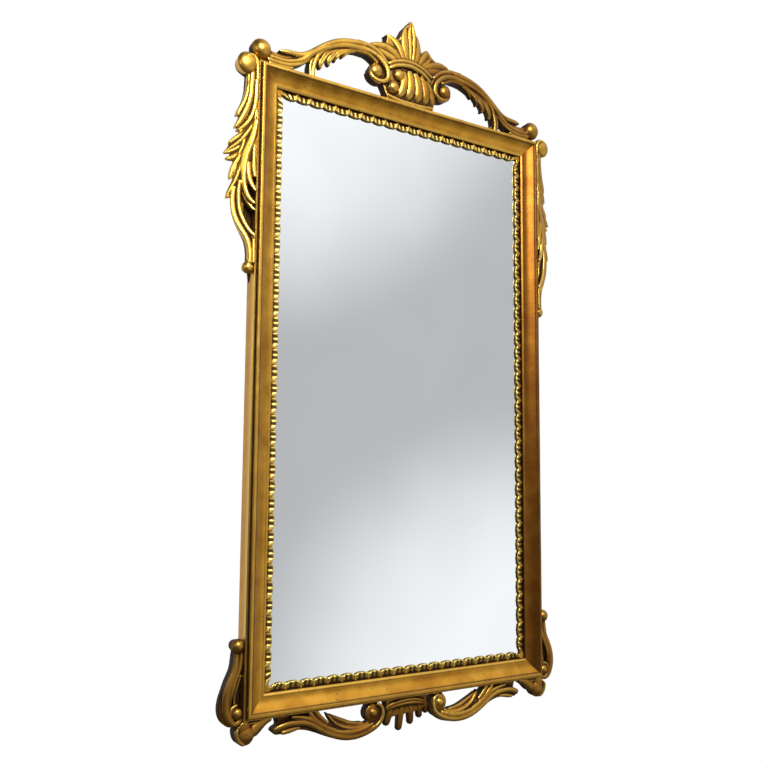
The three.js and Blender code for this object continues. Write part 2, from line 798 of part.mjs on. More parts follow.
// Rows of the slip: a plain flange under the bead, a raised ridge, and half-round tabs with notches between
// them. The plain rows next to a carved one have a stop at each notch, so that every face stays near its tab.
function slipRows(halfLength) {
  const sightHalf = halfLength - sightInset;
  const count = Math.round((2 * sightHalf) / tabPitch);
  const pitch = (2 * sightHalf) / count;
  const edgeStops = [];
  const ridgeStops = [];
  const notchStops = [];
  for (let i = 0; i <= 3 * count; i++) edgeStops.push(-sightHalf + (i * pitch) / 3);
  for (let i = 0; i <= 2 * count; i++) ridgeStops.push(-sightHalf + (i * pitch) / 2);
  for (let i = 0; i <= count; i++) notchStops.push(-sightHalf + i * pitch);
  const phase = (u) => (((u + sightHalf) / pitch) % 1) * 2 - 1;
  const tip = (u) => sightInset - notchDepth * (1 - Math.sqrt(Math.max(0, 1 - phase(u) ** 2)));
  const ridge = (u) => {
    const fromCrest = u === null ? 0 : Math.abs(phase(u));
    return slipFront - slipCrestRise + (slipCrestRise - slipNotchRise) * fromCrest;
  };
  const flangeOuter = rebateInset + edgePlay;
  const edge = (depth) => ({
    at: (u) => [u === null ? sightInset : tip(u), depth],
    stops: edgeStops,
  });
  return [
    { at: () => [flangeOuter, slipBack], stops: notchStops },
    { at: () => [flangeOuter, slipFront] },
    { at: () => [mouldingWidth + 2 * fitGap, slipFront], stops: notchStops },
    { at: (u) => [mouldingWidth + slipCrestAt, ridge(u)], stops: ridgeStops },
    edge(slipFront),
    edge(slipBack),
  ];
}

// ---------- Hangers and turn buttons ----------

const hangerX = (sideFace + rebateSide) / 2;
const hangerZ = halfHeight - hangerBelowLip;
const strapFront = frameDepth + fitGap;
const knuckleBore = ringWire + ringClearance;
const barDepth = strapFront + strapThickness + knuckleBore;
const strapLength = ringInnerHeight + 2 * ringWire + strapBelowRing;
const lowerScrewDrop = strapLength - strapScrewFromEnd;
const strapScrewDrops = [lowerScrewDrop - strapScrewSpacing, lowerScrewDrop];

// The strap is one strip, rolled round the ring's bar at the top and screwed flat to the stile
function strap() {
  const across = (x) => [hangerX + x, barDepth, hangerZ];
  const knuckle = rod(across(-strapWidth / 2), across(strapWidth / 2), knuckleBore + strapThickness, 12);
  const strip = block(
    [hangerX, strapFront + strapThickness / 2, hangerZ - strapLength / 2],
    [strapWidth, strapThickness, strapLength],
  );
  const passage = rod(across(-strapWidth), across(strapWidth), knuckleBore, 12);
  const wood = block([hangerX, strapFront - 5, hangerZ], [3 * strapWidth, 10, 3 * strapLength]);
  const screwHoles = strapScrewDrops.map((drop) =>
    rod(
      [hangerX, strapFront - 1, hangerZ - drop],
      [hangerX, strapFront + strapThickness + 1, hangerZ - drop],
      hangerScrewShank + holeClearance,
    ),
  );
  return without(knuckle.add(strip), [passage, wood, ...screwHoles]);
}

// The ring is a bent wire: a straight bar in the knuckle and a bow that hangs below it
function ring() {
  const sidesRound = 6;
  const half = ringInnerWidth / 2 + ringWire;
  const bow = ringInnerHeight + ringWire;
  const corner = 3;
  const path = new THREE.CurvePath();
  const v = (x, z) => new THREE.Vector3(hangerX + x, barDepth, hangerZ + z);
  path.add(new THREE.LineCurve3(v(-half + corner, 0), v(half - corner, 0)));
  path.add(new THREE.QuadraticBezierCurve3(v(half - corner, 0), v(half, 0), v(half, -corner)));
  const pull = (4 * bow - corner) / 3;
  path.add(new THREE.CubicBezierCurve3(v(half, -corner), v(half, -pull), v(-half, -pull), v(-half, -corner)));
  path.add(new THREE.QuadraticBezierCurve3(v(-half, -corner), v(-half, 0), v(-half + corner, 0)));
  const centres = path.getSpacedPoints(20).slice(0, -1);
  const positions = [];
  const point = (i, k) => {
    const here = centres[(i + centres.length) % centres.length];
    const ahead = centres[(i + 1) % centres.length];
    const behind = centres[(i - 1 + centres.length) % centres.length];
    const tangent = ahead.clone().sub(behind).normalize();
    const side = new THREE.Vector3(0, 1, 0).cross(tangent).normalize();
    const angle = ((k + 0.5) / sidesRound) * 2 * Math.PI;
    return here
      .clone()
      .addScaledVector(side, ringWire * Math.cos(angle))
      .addScaledVector(new THREE.Vector3(0, 1, 0), ringWire * Math.sin(angle));
  };
  centres.forEach((_, i) => {
    for (let k = 0; k < sidesRound; k++) {
      const [a, b, c, d] = [point(i, k), point(i + 1, k), point(i + 1, k + 1), point(i, k + 1)];
      [a, b, c, a, c, d].forEach((p) => positions.push(...p.toArray()));
    }
  });
  return solid(fromCorners(positions));
}

// A pan-headed screw that points into the frame from the back
function screw(x, z, headFrom, headRadius, shankRadius, length) {
  const profile = [
    [0, headFrom + headHeight],
    [headRadius * 0.6, headFrom + headHeight],
    [headRadius, headFrom + headHeight * 0.4],
    [headRadius, headFrom],
    [shankRadius, headFrom],
    [shankRadius, headFrom - length * 0.75],
    [0, headFrom - length],
  ].map(([r, depth]) => new THREE.Vector2(r, depth));
  return solid(new THREE.LatheGeometry(profile, 8).translate(x, 0, z));
}

const screwHole = (x, z, shankRadius, length) =>
  rod([x, frameDepth + 1, z], [x, frameDepth - length, z], shankRadius + holeClearance);

const strapScrews = strapScrewDrops.map((drop) => ({
  x: hangerX,
  z: hangerZ - drop,
  head: strapFront + strapThickness + fitGap,
}));

const buttonX = rebateSide + buttonFromRebate;
const buttonHeights = { upper: halfHeight - buttonFromCorner, lower: buttonFromCorner - halfHeight };
const buttonFront = frameDepth + fitGap;
const buttonScrewHeadFrom = buttonFront + buttonThickness + fitGap;

// A flat bar with round ends that turns on its screw and reaches in over the backboard
function turnButton(z) {
  const shape = new THREE.Shape();
  const arm = buttonReach - buttonHalfWidth;
  const tail = buttonTail - buttonHalfWidth;
  shape.absarc(-arm, 0, buttonHalfWidth, Math.PI / 2, (3 * Math.PI) / 2, false);
  shape.absarc(tail, 0, buttonHalfWidth, -Math.PI / 2, Math.PI / 2, false);
  const hole = new THREE.Path();
  hole.absarc(0, 0, buttonScrewShank + holeClearance, 0, 2 * Math.PI, true);
  shape.holes.push(hole);
  const geometry = new THREE.ExtrudeGeometry(shape, {
    depth: buttonThickness,
    bevelEnabled: false,
    curveSegments: 6,
  });
  return solid(geometry.rotateX(Math.PI / 2).translate(buttonX, buttonFront + buttonThickness, z));
}

// ---------- Assembly ----------

const railHoles = {
  top: [
    ...["cartouche_dowel", "crest_outer_dowel", "crest_strut_dowel"].flatMap((name) => [
      dowels[name].left.hole,
      dowels[name].right.hole,
    ]),
  ],
  bottom: [
    ...["foot_dowel", "apron_dowel"].flatMap((name) => [dowels[name].left.hole, dowels[name].right.hole]),
    fanDowel.hole,
  ],
};
const stileHoles = (side) => {
  const sign = side === "right" ? 1 : -1;
  return [
    ...holesOf(["drop_upper_dowel", "drop_lower_dowel", "lower_scroll_dowel"], side),
    ...strapScrews.map(({ x, z }) => screwHole(sign * x, z, hangerScrewShank, hangerScrewLength)),
    ...Object.values(buttonHeights).map((z) =>
      screwHole(sign * buttonX, z, buttonScrewShank, buttonScrewLength),
    ),
  ];
};
railHoles.left = stileHoles("left");
railHoles.right = stileHoles("right");

const railNames = { top: "top_rail", bottom: "bottom_rail", left: "left_stile", right: "right_stile" };
Object.entries(sides).forEach(([side, { halfLength, place }]) => {
  const slots = corners.map(({ x, z }) => spline(x, z, fitGap));
  const bar = mitredBar(moulding, halfLength, place);
  node(railNames[side], without(bar, [...slots, ...railHoles[side]]), gilding);
  node("sight_slip_" + side, mitredBar(slipRows(halfLength), halfLength, place), carvedGilding);
});
corners.forEach(({ name, x, z }) => node("corner_spline_" + name, spline(x, z, 0), rawWood));

node("mirror_glass", plate(glassFront, glassThickness), silvered);
node("backboard", plate(boardFront, frameDepth - boardFront), rawWood);

node("crest_cartouche", cartouche(), carvedGilding);
pair("crest_scroll", crestScroll(), carvedGilding);
pair("side_drop", sideDrop(), carvedGilding);
pair("lower_scroll", lowerScroll(), carvedGilding);
pair("corner_foot", cornerFoot(), carvedGilding);
pair("apron_scroll", apronScroll(), carvedGilding);
node("apron_fan", apronFan(), carvedGilding);

Object.entries(dowels).forEach(([name, { left, right }]) => {
  node(name + "_left", left.pin, rawWood);
  node(name + "_right", right.pin, rawWood);
});
node("fan_dowel", fanDowel.pin, rawWood);

pair("hanger_strap", strap(), steel);
pair("hanger_ring", ring(), steel);
strapScrews.forEach(({ x, z, head }, i) => {
  const name = i === 0 ? "strap_screw_upper" : "strap_screw_lower";
  pair(name, screw(x, z, head, hangerScrewHead, hangerScrewShank, hangerScrewLength), steel);
});
Object.entries(buttonHeights).forEach(([height, z]) => {
  pair("turn_button_" + height, turnButton(z), brass);
  pair(
    "button_screw_" + height,
    screw(buttonX, z, buttonScrewHeadFrom, buttonScrewHead, buttonScrewShank, buttonScrewLength),
    steel,
  );
});

const pierMirror = new THREE.Group();
pierMirror.add(model);

export default pierMirror;
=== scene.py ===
"""Dresses the pier mirror: carved and water-gilded wood, silvered glass, and the hardware on its back.

Sizes are in millimetres on the carver's drawing and in metres in the scene. On the drawing, x runs to the
right from the centre line, depth runs towards the wall from the plane of the moulding's lip, and z runs up
from half the moulding's height. The carvings are drawn for the right-hand side.
"""

from __future__ import annotations

import logging
import math
from dataclasses import dataclass, field, replace
from enum import Enum
from typing import Callable, Sequence

import bmesh
import bpy
import numpy as np
from mathutils import Matrix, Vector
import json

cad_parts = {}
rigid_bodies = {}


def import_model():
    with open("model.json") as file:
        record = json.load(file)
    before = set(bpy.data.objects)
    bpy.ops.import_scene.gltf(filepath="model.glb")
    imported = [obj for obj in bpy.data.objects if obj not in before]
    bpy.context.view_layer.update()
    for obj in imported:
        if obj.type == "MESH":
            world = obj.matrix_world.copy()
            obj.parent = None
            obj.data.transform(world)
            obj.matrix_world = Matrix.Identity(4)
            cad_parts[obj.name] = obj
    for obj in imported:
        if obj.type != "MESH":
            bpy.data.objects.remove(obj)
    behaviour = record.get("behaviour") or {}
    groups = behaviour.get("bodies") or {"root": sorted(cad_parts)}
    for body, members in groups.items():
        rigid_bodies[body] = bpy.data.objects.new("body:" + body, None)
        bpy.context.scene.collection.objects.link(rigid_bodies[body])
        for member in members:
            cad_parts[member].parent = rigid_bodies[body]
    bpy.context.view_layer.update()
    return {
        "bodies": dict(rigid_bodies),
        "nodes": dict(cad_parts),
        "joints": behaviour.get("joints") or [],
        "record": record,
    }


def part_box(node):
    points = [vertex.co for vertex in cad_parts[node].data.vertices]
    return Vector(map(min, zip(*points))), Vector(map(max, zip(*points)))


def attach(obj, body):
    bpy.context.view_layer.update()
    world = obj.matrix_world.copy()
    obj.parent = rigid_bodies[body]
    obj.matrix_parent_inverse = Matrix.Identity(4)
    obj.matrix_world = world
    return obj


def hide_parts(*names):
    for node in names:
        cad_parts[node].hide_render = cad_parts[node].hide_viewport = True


LOG = logging.getLogger("pier_mirror")

MM = 0.001
LIP_HALF_WIDTH = 293.0
LIP_HALF_HEIGHT = 500.0
FRAME_DEPTH = 32.0
ORIGIN_HEIGHT = 489.0
BASE_REVEAL = 4.0
FIT_GAP = 0.3
SEAT_TOP = LIP_HALF_HEIGHT + BASE_REVEAL + FIT_GAP
SEAT_SIDE = LIP_HALF_WIDTH + BASE_REVEAL + FIT_GAP
CARVING_BACK = 30.0
CARTOUCHE_HALF_WIDTH = 104.0
CORNER_BOSS = (290.5, 525.8)
CORNER_BOSS_RADIUS = 17.0

Point = tuple[float, float, float, float]
Fit = Callable[[np.ndarray], np.ndarray]


# ---------- Arrays and meshes ----------


def to_scene(drawn: np.ndarray) -> np.ndarray:
    """Turns drawing points (x, depth, z) in millimetres into scene points in metres.

    Args:
        drawn: an array whose last axis is x, depth and z.

    Returns:
        The same points from the model's origin, which is the top rail's back.
    """
    return (drawn - np.array([0.0, FRAME_DEPTH, ORIGIN_HEIGHT])) * MM


def linear(hex_colour: str) -> tuple[float, float, float, float]:
    """Turns an sRGB hex colour into the linear colour that a node takes.

    Args:
        hex_colour: six hex digits, such as "C8973A".

    Returns:
        Red, green, blue and an alpha of 1.
    """
    parts = [int(hex_colour[i : i + 2], 16) / 255 for i in (0, 2, 4)]
    curve = [c / 12.92 if c <= 0.04045 else ((c + 0.055) / 1.055) ** 2.4 for c in parts]
    return (curve[0], curve[1], curve[2], 1.0)


def smooth_step(values: np.ndarray, low: float, high: float) -> np.ndarray:
    """Rises from 0 at low to 1 at high with flat ends: 3t^2 - 2t^3.

    Args:
        values: what is compared with the two limits.
        low: where the step starts.
        high: where it ends.

    Returns:
        Values from 0 to 1.
    """
    t = np.clip((values - low) / (high - low), 0.0, 1.0)
    return t * t * (3.0 - 2.0 * t)


def spline(control: np.ndarray, at: np.ndarray) -> np.ndarray:
    """A natural cubic through control rows, by the chord length of their first two columns.

    The second derivatives at the rows solve the usual three-term system, and each piece is the cubic that
    they and the rows' values fix.

    Args:
        control: rows of x, z and anything that changes along with them.
        at: places along the curve, from 0 to 1.

    Returns:
        A row for each place.
    """
    chord = np.hypot(*np.diff(control[:, :2], axis=0).T)
    knots = np.concatenate([[0.0], np.cumsum(chord)])
    count = len(knots)
    system = np.eye(count)
    right = np.zeros_like(control)
    step = np.diff(knots)
    slope = np.diff(control, axis=0) / step[:, None]
    inner = np.arange(1, count - 1)
    system[inner, inner - 1] = step[:-1]
    system[inner, inner] = 2 * (step[:-1] + step[1:])
    system[inner, inner + 1] = step[1:]
    right[inner] = 6 * (slope[1:] - slope[:-1])
    bend = np.linalg.solve(system, right)
    place = at * knots[-1]
    i = np.clip(np.searchsorted(knots, place, side="right") - 1, 0, count - 2)
    h = step[i][:, None]
    a = (knots[i + 1] - place)[:, None]
    b = (place - knots[i])[:, None]
    cubic = (bend[i] * a**3 + bend[i + 1] * b**3) / (6 * h)
    straight = (control[i] / h - bend[i] * h / 6) * a + (control[i + 1] / h - bend[i + 1] * h / 6) * b
    return cubic + straight


def grid_faces(rows: int, columns: int, wrap: bool = False) -> np.ndarray:
    """Quads of a grid of rows by columns vertices, wrapped round its columns if asked.

    Args:
        rows: number of rows.
        columns: number of vertices in a row.
        wrap: whether the last column joins the first.

    Returns:
        An array of four vertex numbers a face.
    """
    i, j = np.meshgrid(np.arange(rows - 1), np.arange(columns if wrap else columns - 1), indexing="ij")
    k = (j + 1) % columns
    corners = [i * columns + j, (i + 1) * columns + j, (i + 1) * columns + k, i * columns + k]
    return np.stack(corners, axis=-1).reshape(-1, 4)


@dataclass
class Shell:
    """Vertices on the drawing and the faces between them."""

    points: np.ndarray
    faces: list[Sequence[int]]

    @staticmethod
    def joined(shells: Sequence[Shell]) -> Shell:
        """One shell of several, with the faces renumbered."""
        points: list[np.ndarray] = []
        faces: list[Sequence[int]] = []
        start = 0
        for shell in shells:
            points.append(shell.points)
            faces.extend([[v + start for v in face] for face in shell.faces])
            start += len(shell.points)
        return Shell(np.concatenate(points), faces)


def lofted(rings: np.ndarray) -> Shell:
    """A closed shell through rings of vertices, whose two ends come to their middles.

    Args:
        rings: an array of rings by vertices by 3.

    Returns:
        The closed shell.
    """
    ends = [np.repeat(rings[i].mean(axis=0)[None], rings.shape[1], axis=0) for i in (0, -1)]
    whole = np.concatenate([ends[0][None], rings, ends[1][None]])
    faces = grid_faces(len(whole), rings.shape[1], wrap=True)
    return Shell(whole.reshape(-1, 3), faces.tolist())


def new_piece(name: str, mesh: bpy.types.Mesh) -> bpy.types.Object:
    """Puts a mesh into the scene as an object at the origin.

    Args:
        name: the piece's name.
        mesh: its mesh, in scene metres.

    Returns:
        The new object.
    """
    piece = bpy.data.objects.new(name, mesh)
    bpy.context.scene.collection.objects.link(piece)
    return piece


def store(mesh: bpy.types.Mesh, name: str, values: np.ndarray) -> None:
    """Keeps a number for each vertex under a name that the finishes read."""
    attribute = mesh.attributes.new(name, "FLOAT", "POINT")
    attribute.data.foreach_set("value", values.astype(np.float32))


# ---------- Finishes ----------


def add(tree: bpy.types.NodeTree, kind: str, wires: dict | None = None, **settings) -> bpy.types.Node:
    """Adds a shader node with its settings and links.

    Args:
        tree: the material's or world's node tree.
        kind: the node's type, without its prefix.
        wires: inputs by name or number, each a value or the socket that feeds it.
        settings: the node's own properties.

    Returns:
        The new node.
    """
    made = tree.nodes.new("ShaderNode" + kind)
    for key, value in settings.items():
        setattr(made, key, value)
    for key, value in (wires or {}).items():
        if isinstance(value, bpy.types.NodeSocket):
            tree.links.new(value, made.inputs[key])
        else:
            made.inputs[key].default_value = value
    return made


class Blend(Enum):
    """Inputs and output of a Mix node by what it mixes."""

    NUMBER = ("FLOAT", 2, 3, 0)
    COLOUR = ("RGBA", 6, 7, 2)


def mixed(tree: bpy.types.NodeTree, blend: Blend, share: object, first: object, second: object):
    """Mixes two values or colours by a share.

    Args:
        tree: the node tree.
        blend: whether numbers or colours are mixed.
        share: 0 gives the first and 1 the second.
        first: a value or socket.
        second: a value or socket.

    Returns:
        The socket that holds the mix.
    """
    kind, a, b, out = blend.value
    made = add(tree, "Mix", {0: share, a: first, b: second}, data_type=kind, clamp_factor=True)
    return made.outputs[out]


def mapped(tree: bpy.types.NodeTree, value: object, source: tuple[float, float],
           target: tuple[float, float]):
    """Maps a socket's range onto another, clamped.

    Args:
        tree: the node tree.
        value: the socket.
        source: its values at the two ends.
        target: what they become.

    Returns:
        The mapped socket.
    """
    wires = {0: value, 1: source[0], 2: source[1], 3: target[0], 4: target[1]}
    return add(tree, "MapRange", wires, clamp=True).outputs[0]


def multiplied(tree: bpy.types.NodeTree, first: object, second: object):
    """The product of two sockets or values."""
    return add(tree, "Math", {0: first, 1: second}, operation="MULTIPLY").outputs[0]


def noise(tree: bpy.types.NodeTree, grain_mm: float, detail: float = 2.0, stretch=(1.0, 1.0, 1.0)):
    """Cloudy noise on Object coordinates whose patches are about grain_mm across.

    Args:
        tree: the node tree.
        grain_mm: size of a patch in millimetres.
        detail: how many finer layers lie on top.
        stretch: scale along each axis, less than 1 for longer patches.

    Returns:
        The noise's value socket.
    """
    place = add(tree, "TexCoord").outputs["Object"]
    turned = add(tree, "Mapping", {"Vector": place, "Scale": stretch}).outputs[0]
    wires = {"Vector": turned, "Scale": 1 / (grain_mm * MM), "Detail": detail}
    return add(tree, "TexNoise", wires).outputs[0]


def attribute(tree: bpy.types.NodeTree, name: str):
    """The number that a mesh keeps for each vertex under a name."""
    return add(tree, "Attribute", attribute_name=name, attribute_type="GEOMETRY").outputs["Fac"]


@dataclass(frozen=True)
class Finish:
    """What every finish has: a name of the real material and a way to make it."""

    name: str

    def tree(self) -> tuple[bpy.types.Material, bpy.types.NodeTree, bpy.types.Node]:
        """Makes an empty material.

        Returns:
            The material, its node tree and its surface shader.
        """
        material = bpy.data.materials.new(self.name)
        material.use_nodes = True
        tree = material.node_tree
        return material, tree, tree.nodes["Principled BSDF"]


@dataclass(frozen=True)
class WaterGilding(Finish):
    """Gold leaf laid on clay bole over gesso and burnished, then toned and rubbed by age.

    The leaf is a metal: its colour tints what it mirrors. High places get a painted highlight of paler leaf,
    standing for their burnish. A brown wash over whole parts is partly toning lacquer and mostly painted
    shade on the parts and the side that lie in shade. Hollows, deep places and walls turned from the front
    get umber, partly dust and partly painted shade, which is nearly dull.
    """

    leaf: str = "CC9A39"
    deep_leaf: str = "AA7626"
    highlight_leaf: str = "FAE57F"
    bole: str = "85421C"
    # Brown of the wash: toning lacquer, and painted shade where the tone share darkens whole parts.
    toning_and_shade_colour: str = "6C4015"
    # umber: dull brown for dust and painted shade in hollows, and for woodworm holes.
    umber: str = "241002"
    patch_mm: float = 30.0
    ripple_mm: float = 9.0
    speck_mm: float = 1.6
    flight_hole_mm: float = 0.9

    def make(self) -> bpy.types.Material:
        """Builds the node tree and returns the material."""
        material, tree, shader = self.tree()
        hollow = attribute(tree, "hollow")
        ridge = attribute(tree, "ridge")
        tone = attribute(tree, "tone")
        patch = noise(tree, self.patch_mm, 3.0)
        speck = noise(tree, self.speck_mm, 2.0)
        cloud = mapped(tree, patch, (0.30, 0.70), (0.0, 1.0))
        gold = mixed(tree, Blend.COLOUR, cloud, linear(self.deep_leaf), linear(self.leaf))
        # Painted highlight: paler leaf where the ridge share is high, standing in for the shine of burnished
        # high places.
        highlight_share = multiplied(tree, ridge, mapped(tree, patch, (0.3, 0.7), (0.95, 0.6)))
        gold = mixed(tree, Blend.COLOUR, highlight_share, gold, linear(self.highlight_leaf))
        rubbed = multiplied(tree, ridge, mapped(tree, speck, (0.64, 0.72), (0.0, 0.55)))
        gold = mixed(tree, Blend.COLOUR, rubbed, gold, linear(self.bole))
        # Brown wash by the tone share: partly toning lacquer, mostly painted shade on whole parts and the
        # side in shade. It is held off ridges so that the painted highlights stay.
        toned_and_shaded = multiplied(tree, tone, mapped(tree, patch, (0.30, 0.70), (1.0, 0.85)))
        toned_and_shaded = multiplied(tree, toned_and_shaded, mapped(tree, ridge, (0.1, 0.9), (1.0, 0.45)))
        gold = mixed(tree, Blend.COLOUR, toned_and_shaded, gold, linear(self.toning_and_shade_colour))
        # Umber over the hollow share: partly dust in real crevices, partly painted shade in deep places and
        # on walls turned from the front. The same share dulls the metal and roughens it.
        dust_and_shade = mapped(tree, hollow, (0.08, 0.62), (0.0, 1.0))
        uneven = multiplied(tree, dust_and_shade, mapped(tree, speck, (0.25, 0.6), (0.8, 1.0)))
        gold = mixed(tree, Blend.COLOUR, uneven, gold, linear(self.umber))
        hole = self.flight_holes(tree)
        gold = mixed(tree, Blend.COLOUR, hole, gold, linear(self.umber))
        tree.links.new(gold, shader.inputs["Base Color"])
        metal = mixed(tree, Blend.NUMBER, uneven, 1.0, 0.7)
        metal = mixed(tree, Blend.NUMBER, hole, metal, 0.0)
        tree.links.new(metal, shader.inputs["Metallic"])
        rough = mapped(tree, patch, (0.3, 0.7), (0.27, 0.38))
        rough = mixed(tree, Blend.NUMBER, toned_and_shaded, rough, 0.40)
        rough = mixed(tree, Blend.NUMBER, uneven, rough, 0.70)
        tree.links.new(rough, shader.inputs["Roughness"])
        ripple = noise(tree, self.ripple_mm, 2.0)
        height = add(tree, "Math", {0: ripple, 1: speck, 2: 0.0}, operation="ADD").outputs[0]
        bump = add(tree, "Bump", {"Strength": 0.30, "Distance": 0.0005, "Height": height})
        tree.links.new(bump.outputs[0], shader.inputs["Normal"])
        return material

    def flight_holes(self, tree: bpy.types.NodeTree):
        """Rare round holes of woodworm, from the nearest point of a sparse scatter.

        Args:
            tree: the node tree.

        Returns:
            A socket that is 1 inside a hole.
        """
        place = add(tree, "TexCoord").outputs["Object"]
        spread = self.flight_hole_mm * 15
        dots = add(tree, "TexVoronoi", {"Vector": place, "Scale": 1 / (spread * MM)})
        reach = self.flight_hole_mm / spread
        return mapped(tree, dots.outputs["Distance"], (reach, reach * 1.5), (1.0, 0.0))


@dataclass(frozen=True)
class SilveredGlass(Finish):
    """Plate glass silvered on its back: a sharp mirror with the faint grey of old plate."""

    silver: str = "DEE3E7"

    def make(self) -> bpy.types.Material:
        """Builds the node tree and returns the material."""
        material, tree, shader = self.tree()
        cloud = noise(tree, 160.0, 1.0)
        tint = mixed(tree, Blend.COLOUR, mapped(tree, cloud, (0.3, 0.7), (0.0, 1.0)),
                     linear(self.silver), linear("DADDE1"))
        tree.links.new(tint, shader.inputs["Base Color"])
        shader.inputs["Metallic"].default_value = 1.0
        shader.inputs["Roughness"].default_value = 0.03
        return material


@dataclass(frozen=True)
class OldPine(Finish):
    """Bare pine, sawn and planed, darkened with age: long grain, dark lines and dust."""

    pale: str = "A9804E"
    dark: str = "6B4524"
    grime: str = "3B2817"
    grain_mm: float = 5.0
    along: tuple[float, float, float] = (1.0, 1.0, 0.06)

    def make(self) -> bpy.types.Material:
        """Builds the node tree and returns the material."""
        material, tree, shader = self.tree()
        grain = noise(tree, self.grain_mm, 4.0, self.along)
        stain = noise(tree, 90.0, 3.0)
        wood = mixed(tree, Blend.COLOUR, mapped(tree, grain, (0.32, 0.68), (0.0, 1.0)),
                     linear(self.pale), linear(self.dark))
        dirty = mapped(tree, stain, (0.5, 0.75), (0.0, 0.6))
        wood = mixed(tree, Blend.COLOUR, dirty, wood, linear(self.grime))
        tree.links.new(wood, shader.inputs["Base Color"])
        shader.inputs["Roughness"].default_value = 0.78
        bump = add(tree, "Bump", {"Strength": 0.4, "Distance": 0.0004, "Height": grain})
        tree.links.new(bump.outputs[0], shader.inputs["Normal"])
        return material


@dataclass(frozen=True)
class PlainMetal(Finish):
    """A small metal fitting with a dulled skin that is clean where it rubs."""

    clean: str = "8E8C87"
    dull: str = "4D4640"
    roughness: float = 0.42
    patch_mm: float = 4.0

    def make(self) -> bpy.types.Material:
        """Builds the node tree and returns the material."""
        material, tree, shader = self.tree()
        patch = noise(tree, self.patch_mm, 3.0)
        skin = mixed(tree, Blend.COLOUR, mapped(tree, patch, (0.42, 0.68), (0.0, 1.0)),
                     linear(self.clean), linear(self.dull))
        tree.links.new(skin, shader.inputs["Base Color"])
        shader.inputs["Metallic"].default_value = 1.0
        rough = mapped(tree, patch, (0.35, 0.7), (self.roughness * 0.8, self.roughness * 1.5))
        tree.links.new(rough, shader.inputs["Roughness"])
        bump = add(tree, "Bump", {"Strength": 0.2, "Distance": 0.0002, "Height": patch})
        tree.links.new(bump.outputs[0], shader.inputs["Normal"])
        return material


@dataclass
class Finishes:
    """Every finish of the mirror, made once."""

    gilding: bpy.types.Material = field(default_factory=lambda: WaterGilding("water_gilding").make())
    glass: bpy.types.Material = field(default_factory=lambda: SilveredGlass("silvered_plate_glass").make())
    pine: bpy.types.Material = field(default_factory=lambda: OldPine("old_pine").make())
    steel: bpy.types.Material = field(default_factory=lambda: PlainMetal("dulled_steel").make())
    brass: bpy.types.Material = field(
        default_factory=lambda: PlainMetal("old_brass", clean="B08D4A", dull="6E5427",
                                           roughness=0.36).make()
    )


# ---------- Carving ----------


class Section(Enum):
    """How a strand's top is cut across: a round back, or a leaf with two slopes."""

    ROUND = "round"
    LEAF = "leaf"


@dataclass(frozen=True)
class Strand:
    """A carved strand through (x, z, half width, ridge depth) points.

    crown is how far its edges fall below its ridge, as a share of the half width. reeds cut its top into
    that many small rounds. Its sides run back to the depth back, where it is narrower by undercut.
    """

    points: Sequence[Point]
    section: Section = Section.ROUND
    crown: float = 0.6
    reeds: int = 1
    round_end: bool = True
    round_start: bool = False
    back: float = CARVING_BACK
    undercut: float = 0.3
    step: float = 1.3
    across: int = 21

    def fall(self, s: np.ndarray) -> np.ndarray:
        """How far the top lies below its ridge, as a share of the half width.

        A round back falls as 1 - sqrt(1 - s^2). A leaf falls in a straight slope with a soft ridge. Each
        small reed falls again as a round of its own width.

        Args:
            s: place across the strand, from -1 to 1.

        Returns:
            The fall at each place.
        """
        if self.section is Section.LEAF:
            fall = self.crown * (np.sqrt(s * s + 0.02) - math.sqrt(0.02))
        else:
            fall = self.crown * (1 - np.sqrt(np.clip(1 - 0.97 * s * s, 0.0, 1.0)))
        if self.reeds > 1:
            local = ((s + 1) / 2 * self.reeds) % 1.0 * 2 - 1
            fall = fall + 0.8 / self.reeds * (1 - np.sqrt(np.clip(1 - 0.94 * local**2, 0.0, 1.0)))
        return fall

    def shell(self) -> Shell:
        """The strand as a closed shell from its cut top to the carving's flat back.

        Each ring stands square to the path in the drawing's plane: it runs across the top by the section's
        fall, and down both sides to the back. A rounded end narrows as a half circle does.

        Returns:
            The shell on the drawing.
        """
        control = np.array(self.points, dtype=float)
        length = float(np.hypot(*np.diff(control[:, :2], axis=0).T).sum())
        rings = max(8, int(length / self.step))
        t = np.linspace(0, 1, rings)
        x, z, width, ridge = spline(control, t).T
        width = np.maximum(width, 0.6)
        shrink = np.ones_like(t)
        if self.round_end:
            near = np.clip((1 - t) * length / width[-4:].mean().clip(1.5), 0, 1)
            shrink *= np.sqrt(np.clip(1 - (1 - near) ** 2, 0.02, 1))
        if self.round_start:
            near = np.clip(t * length / width[:4].mean().clip(1.5), 0, 1)
            shrink *= np.sqrt(np.clip(1 - (1 - near) ** 2, 0.02, 1))
        ridge = ridge + self.crown * width * (1 - shrink) * 0.8
        width = width * shrink
        run = np.stack([np.gradient(x), np.gradient(z)], axis=1)
        run /= np.linalg.norm(run, axis=1)[:, None]
        s = np.sin(np.linspace(-1, 1, self.across * self.reeds) * math.pi / 2)
        depth = np.minimum(ridge[:, None] + self.fall(s)[None] * width[:, None], self.back - 1)
        side = s[None] * width[:, None]
        top = np.stack([x[:, None] - run[:, 1:] * side, depth, z[:, None] + run[:, :1] * side], axis=-1)
        middle = np.stack([x, depth.mean(axis=1), z], axis=-1)[:, None]
        feet = middle + (top[:, [0, -1]] - middle) * (1 - self.undercut)
        feet[..., 1] = self.back
        return lofted(np.concatenate([feet[:, :1], top, feet[:, 1:]], axis=1))


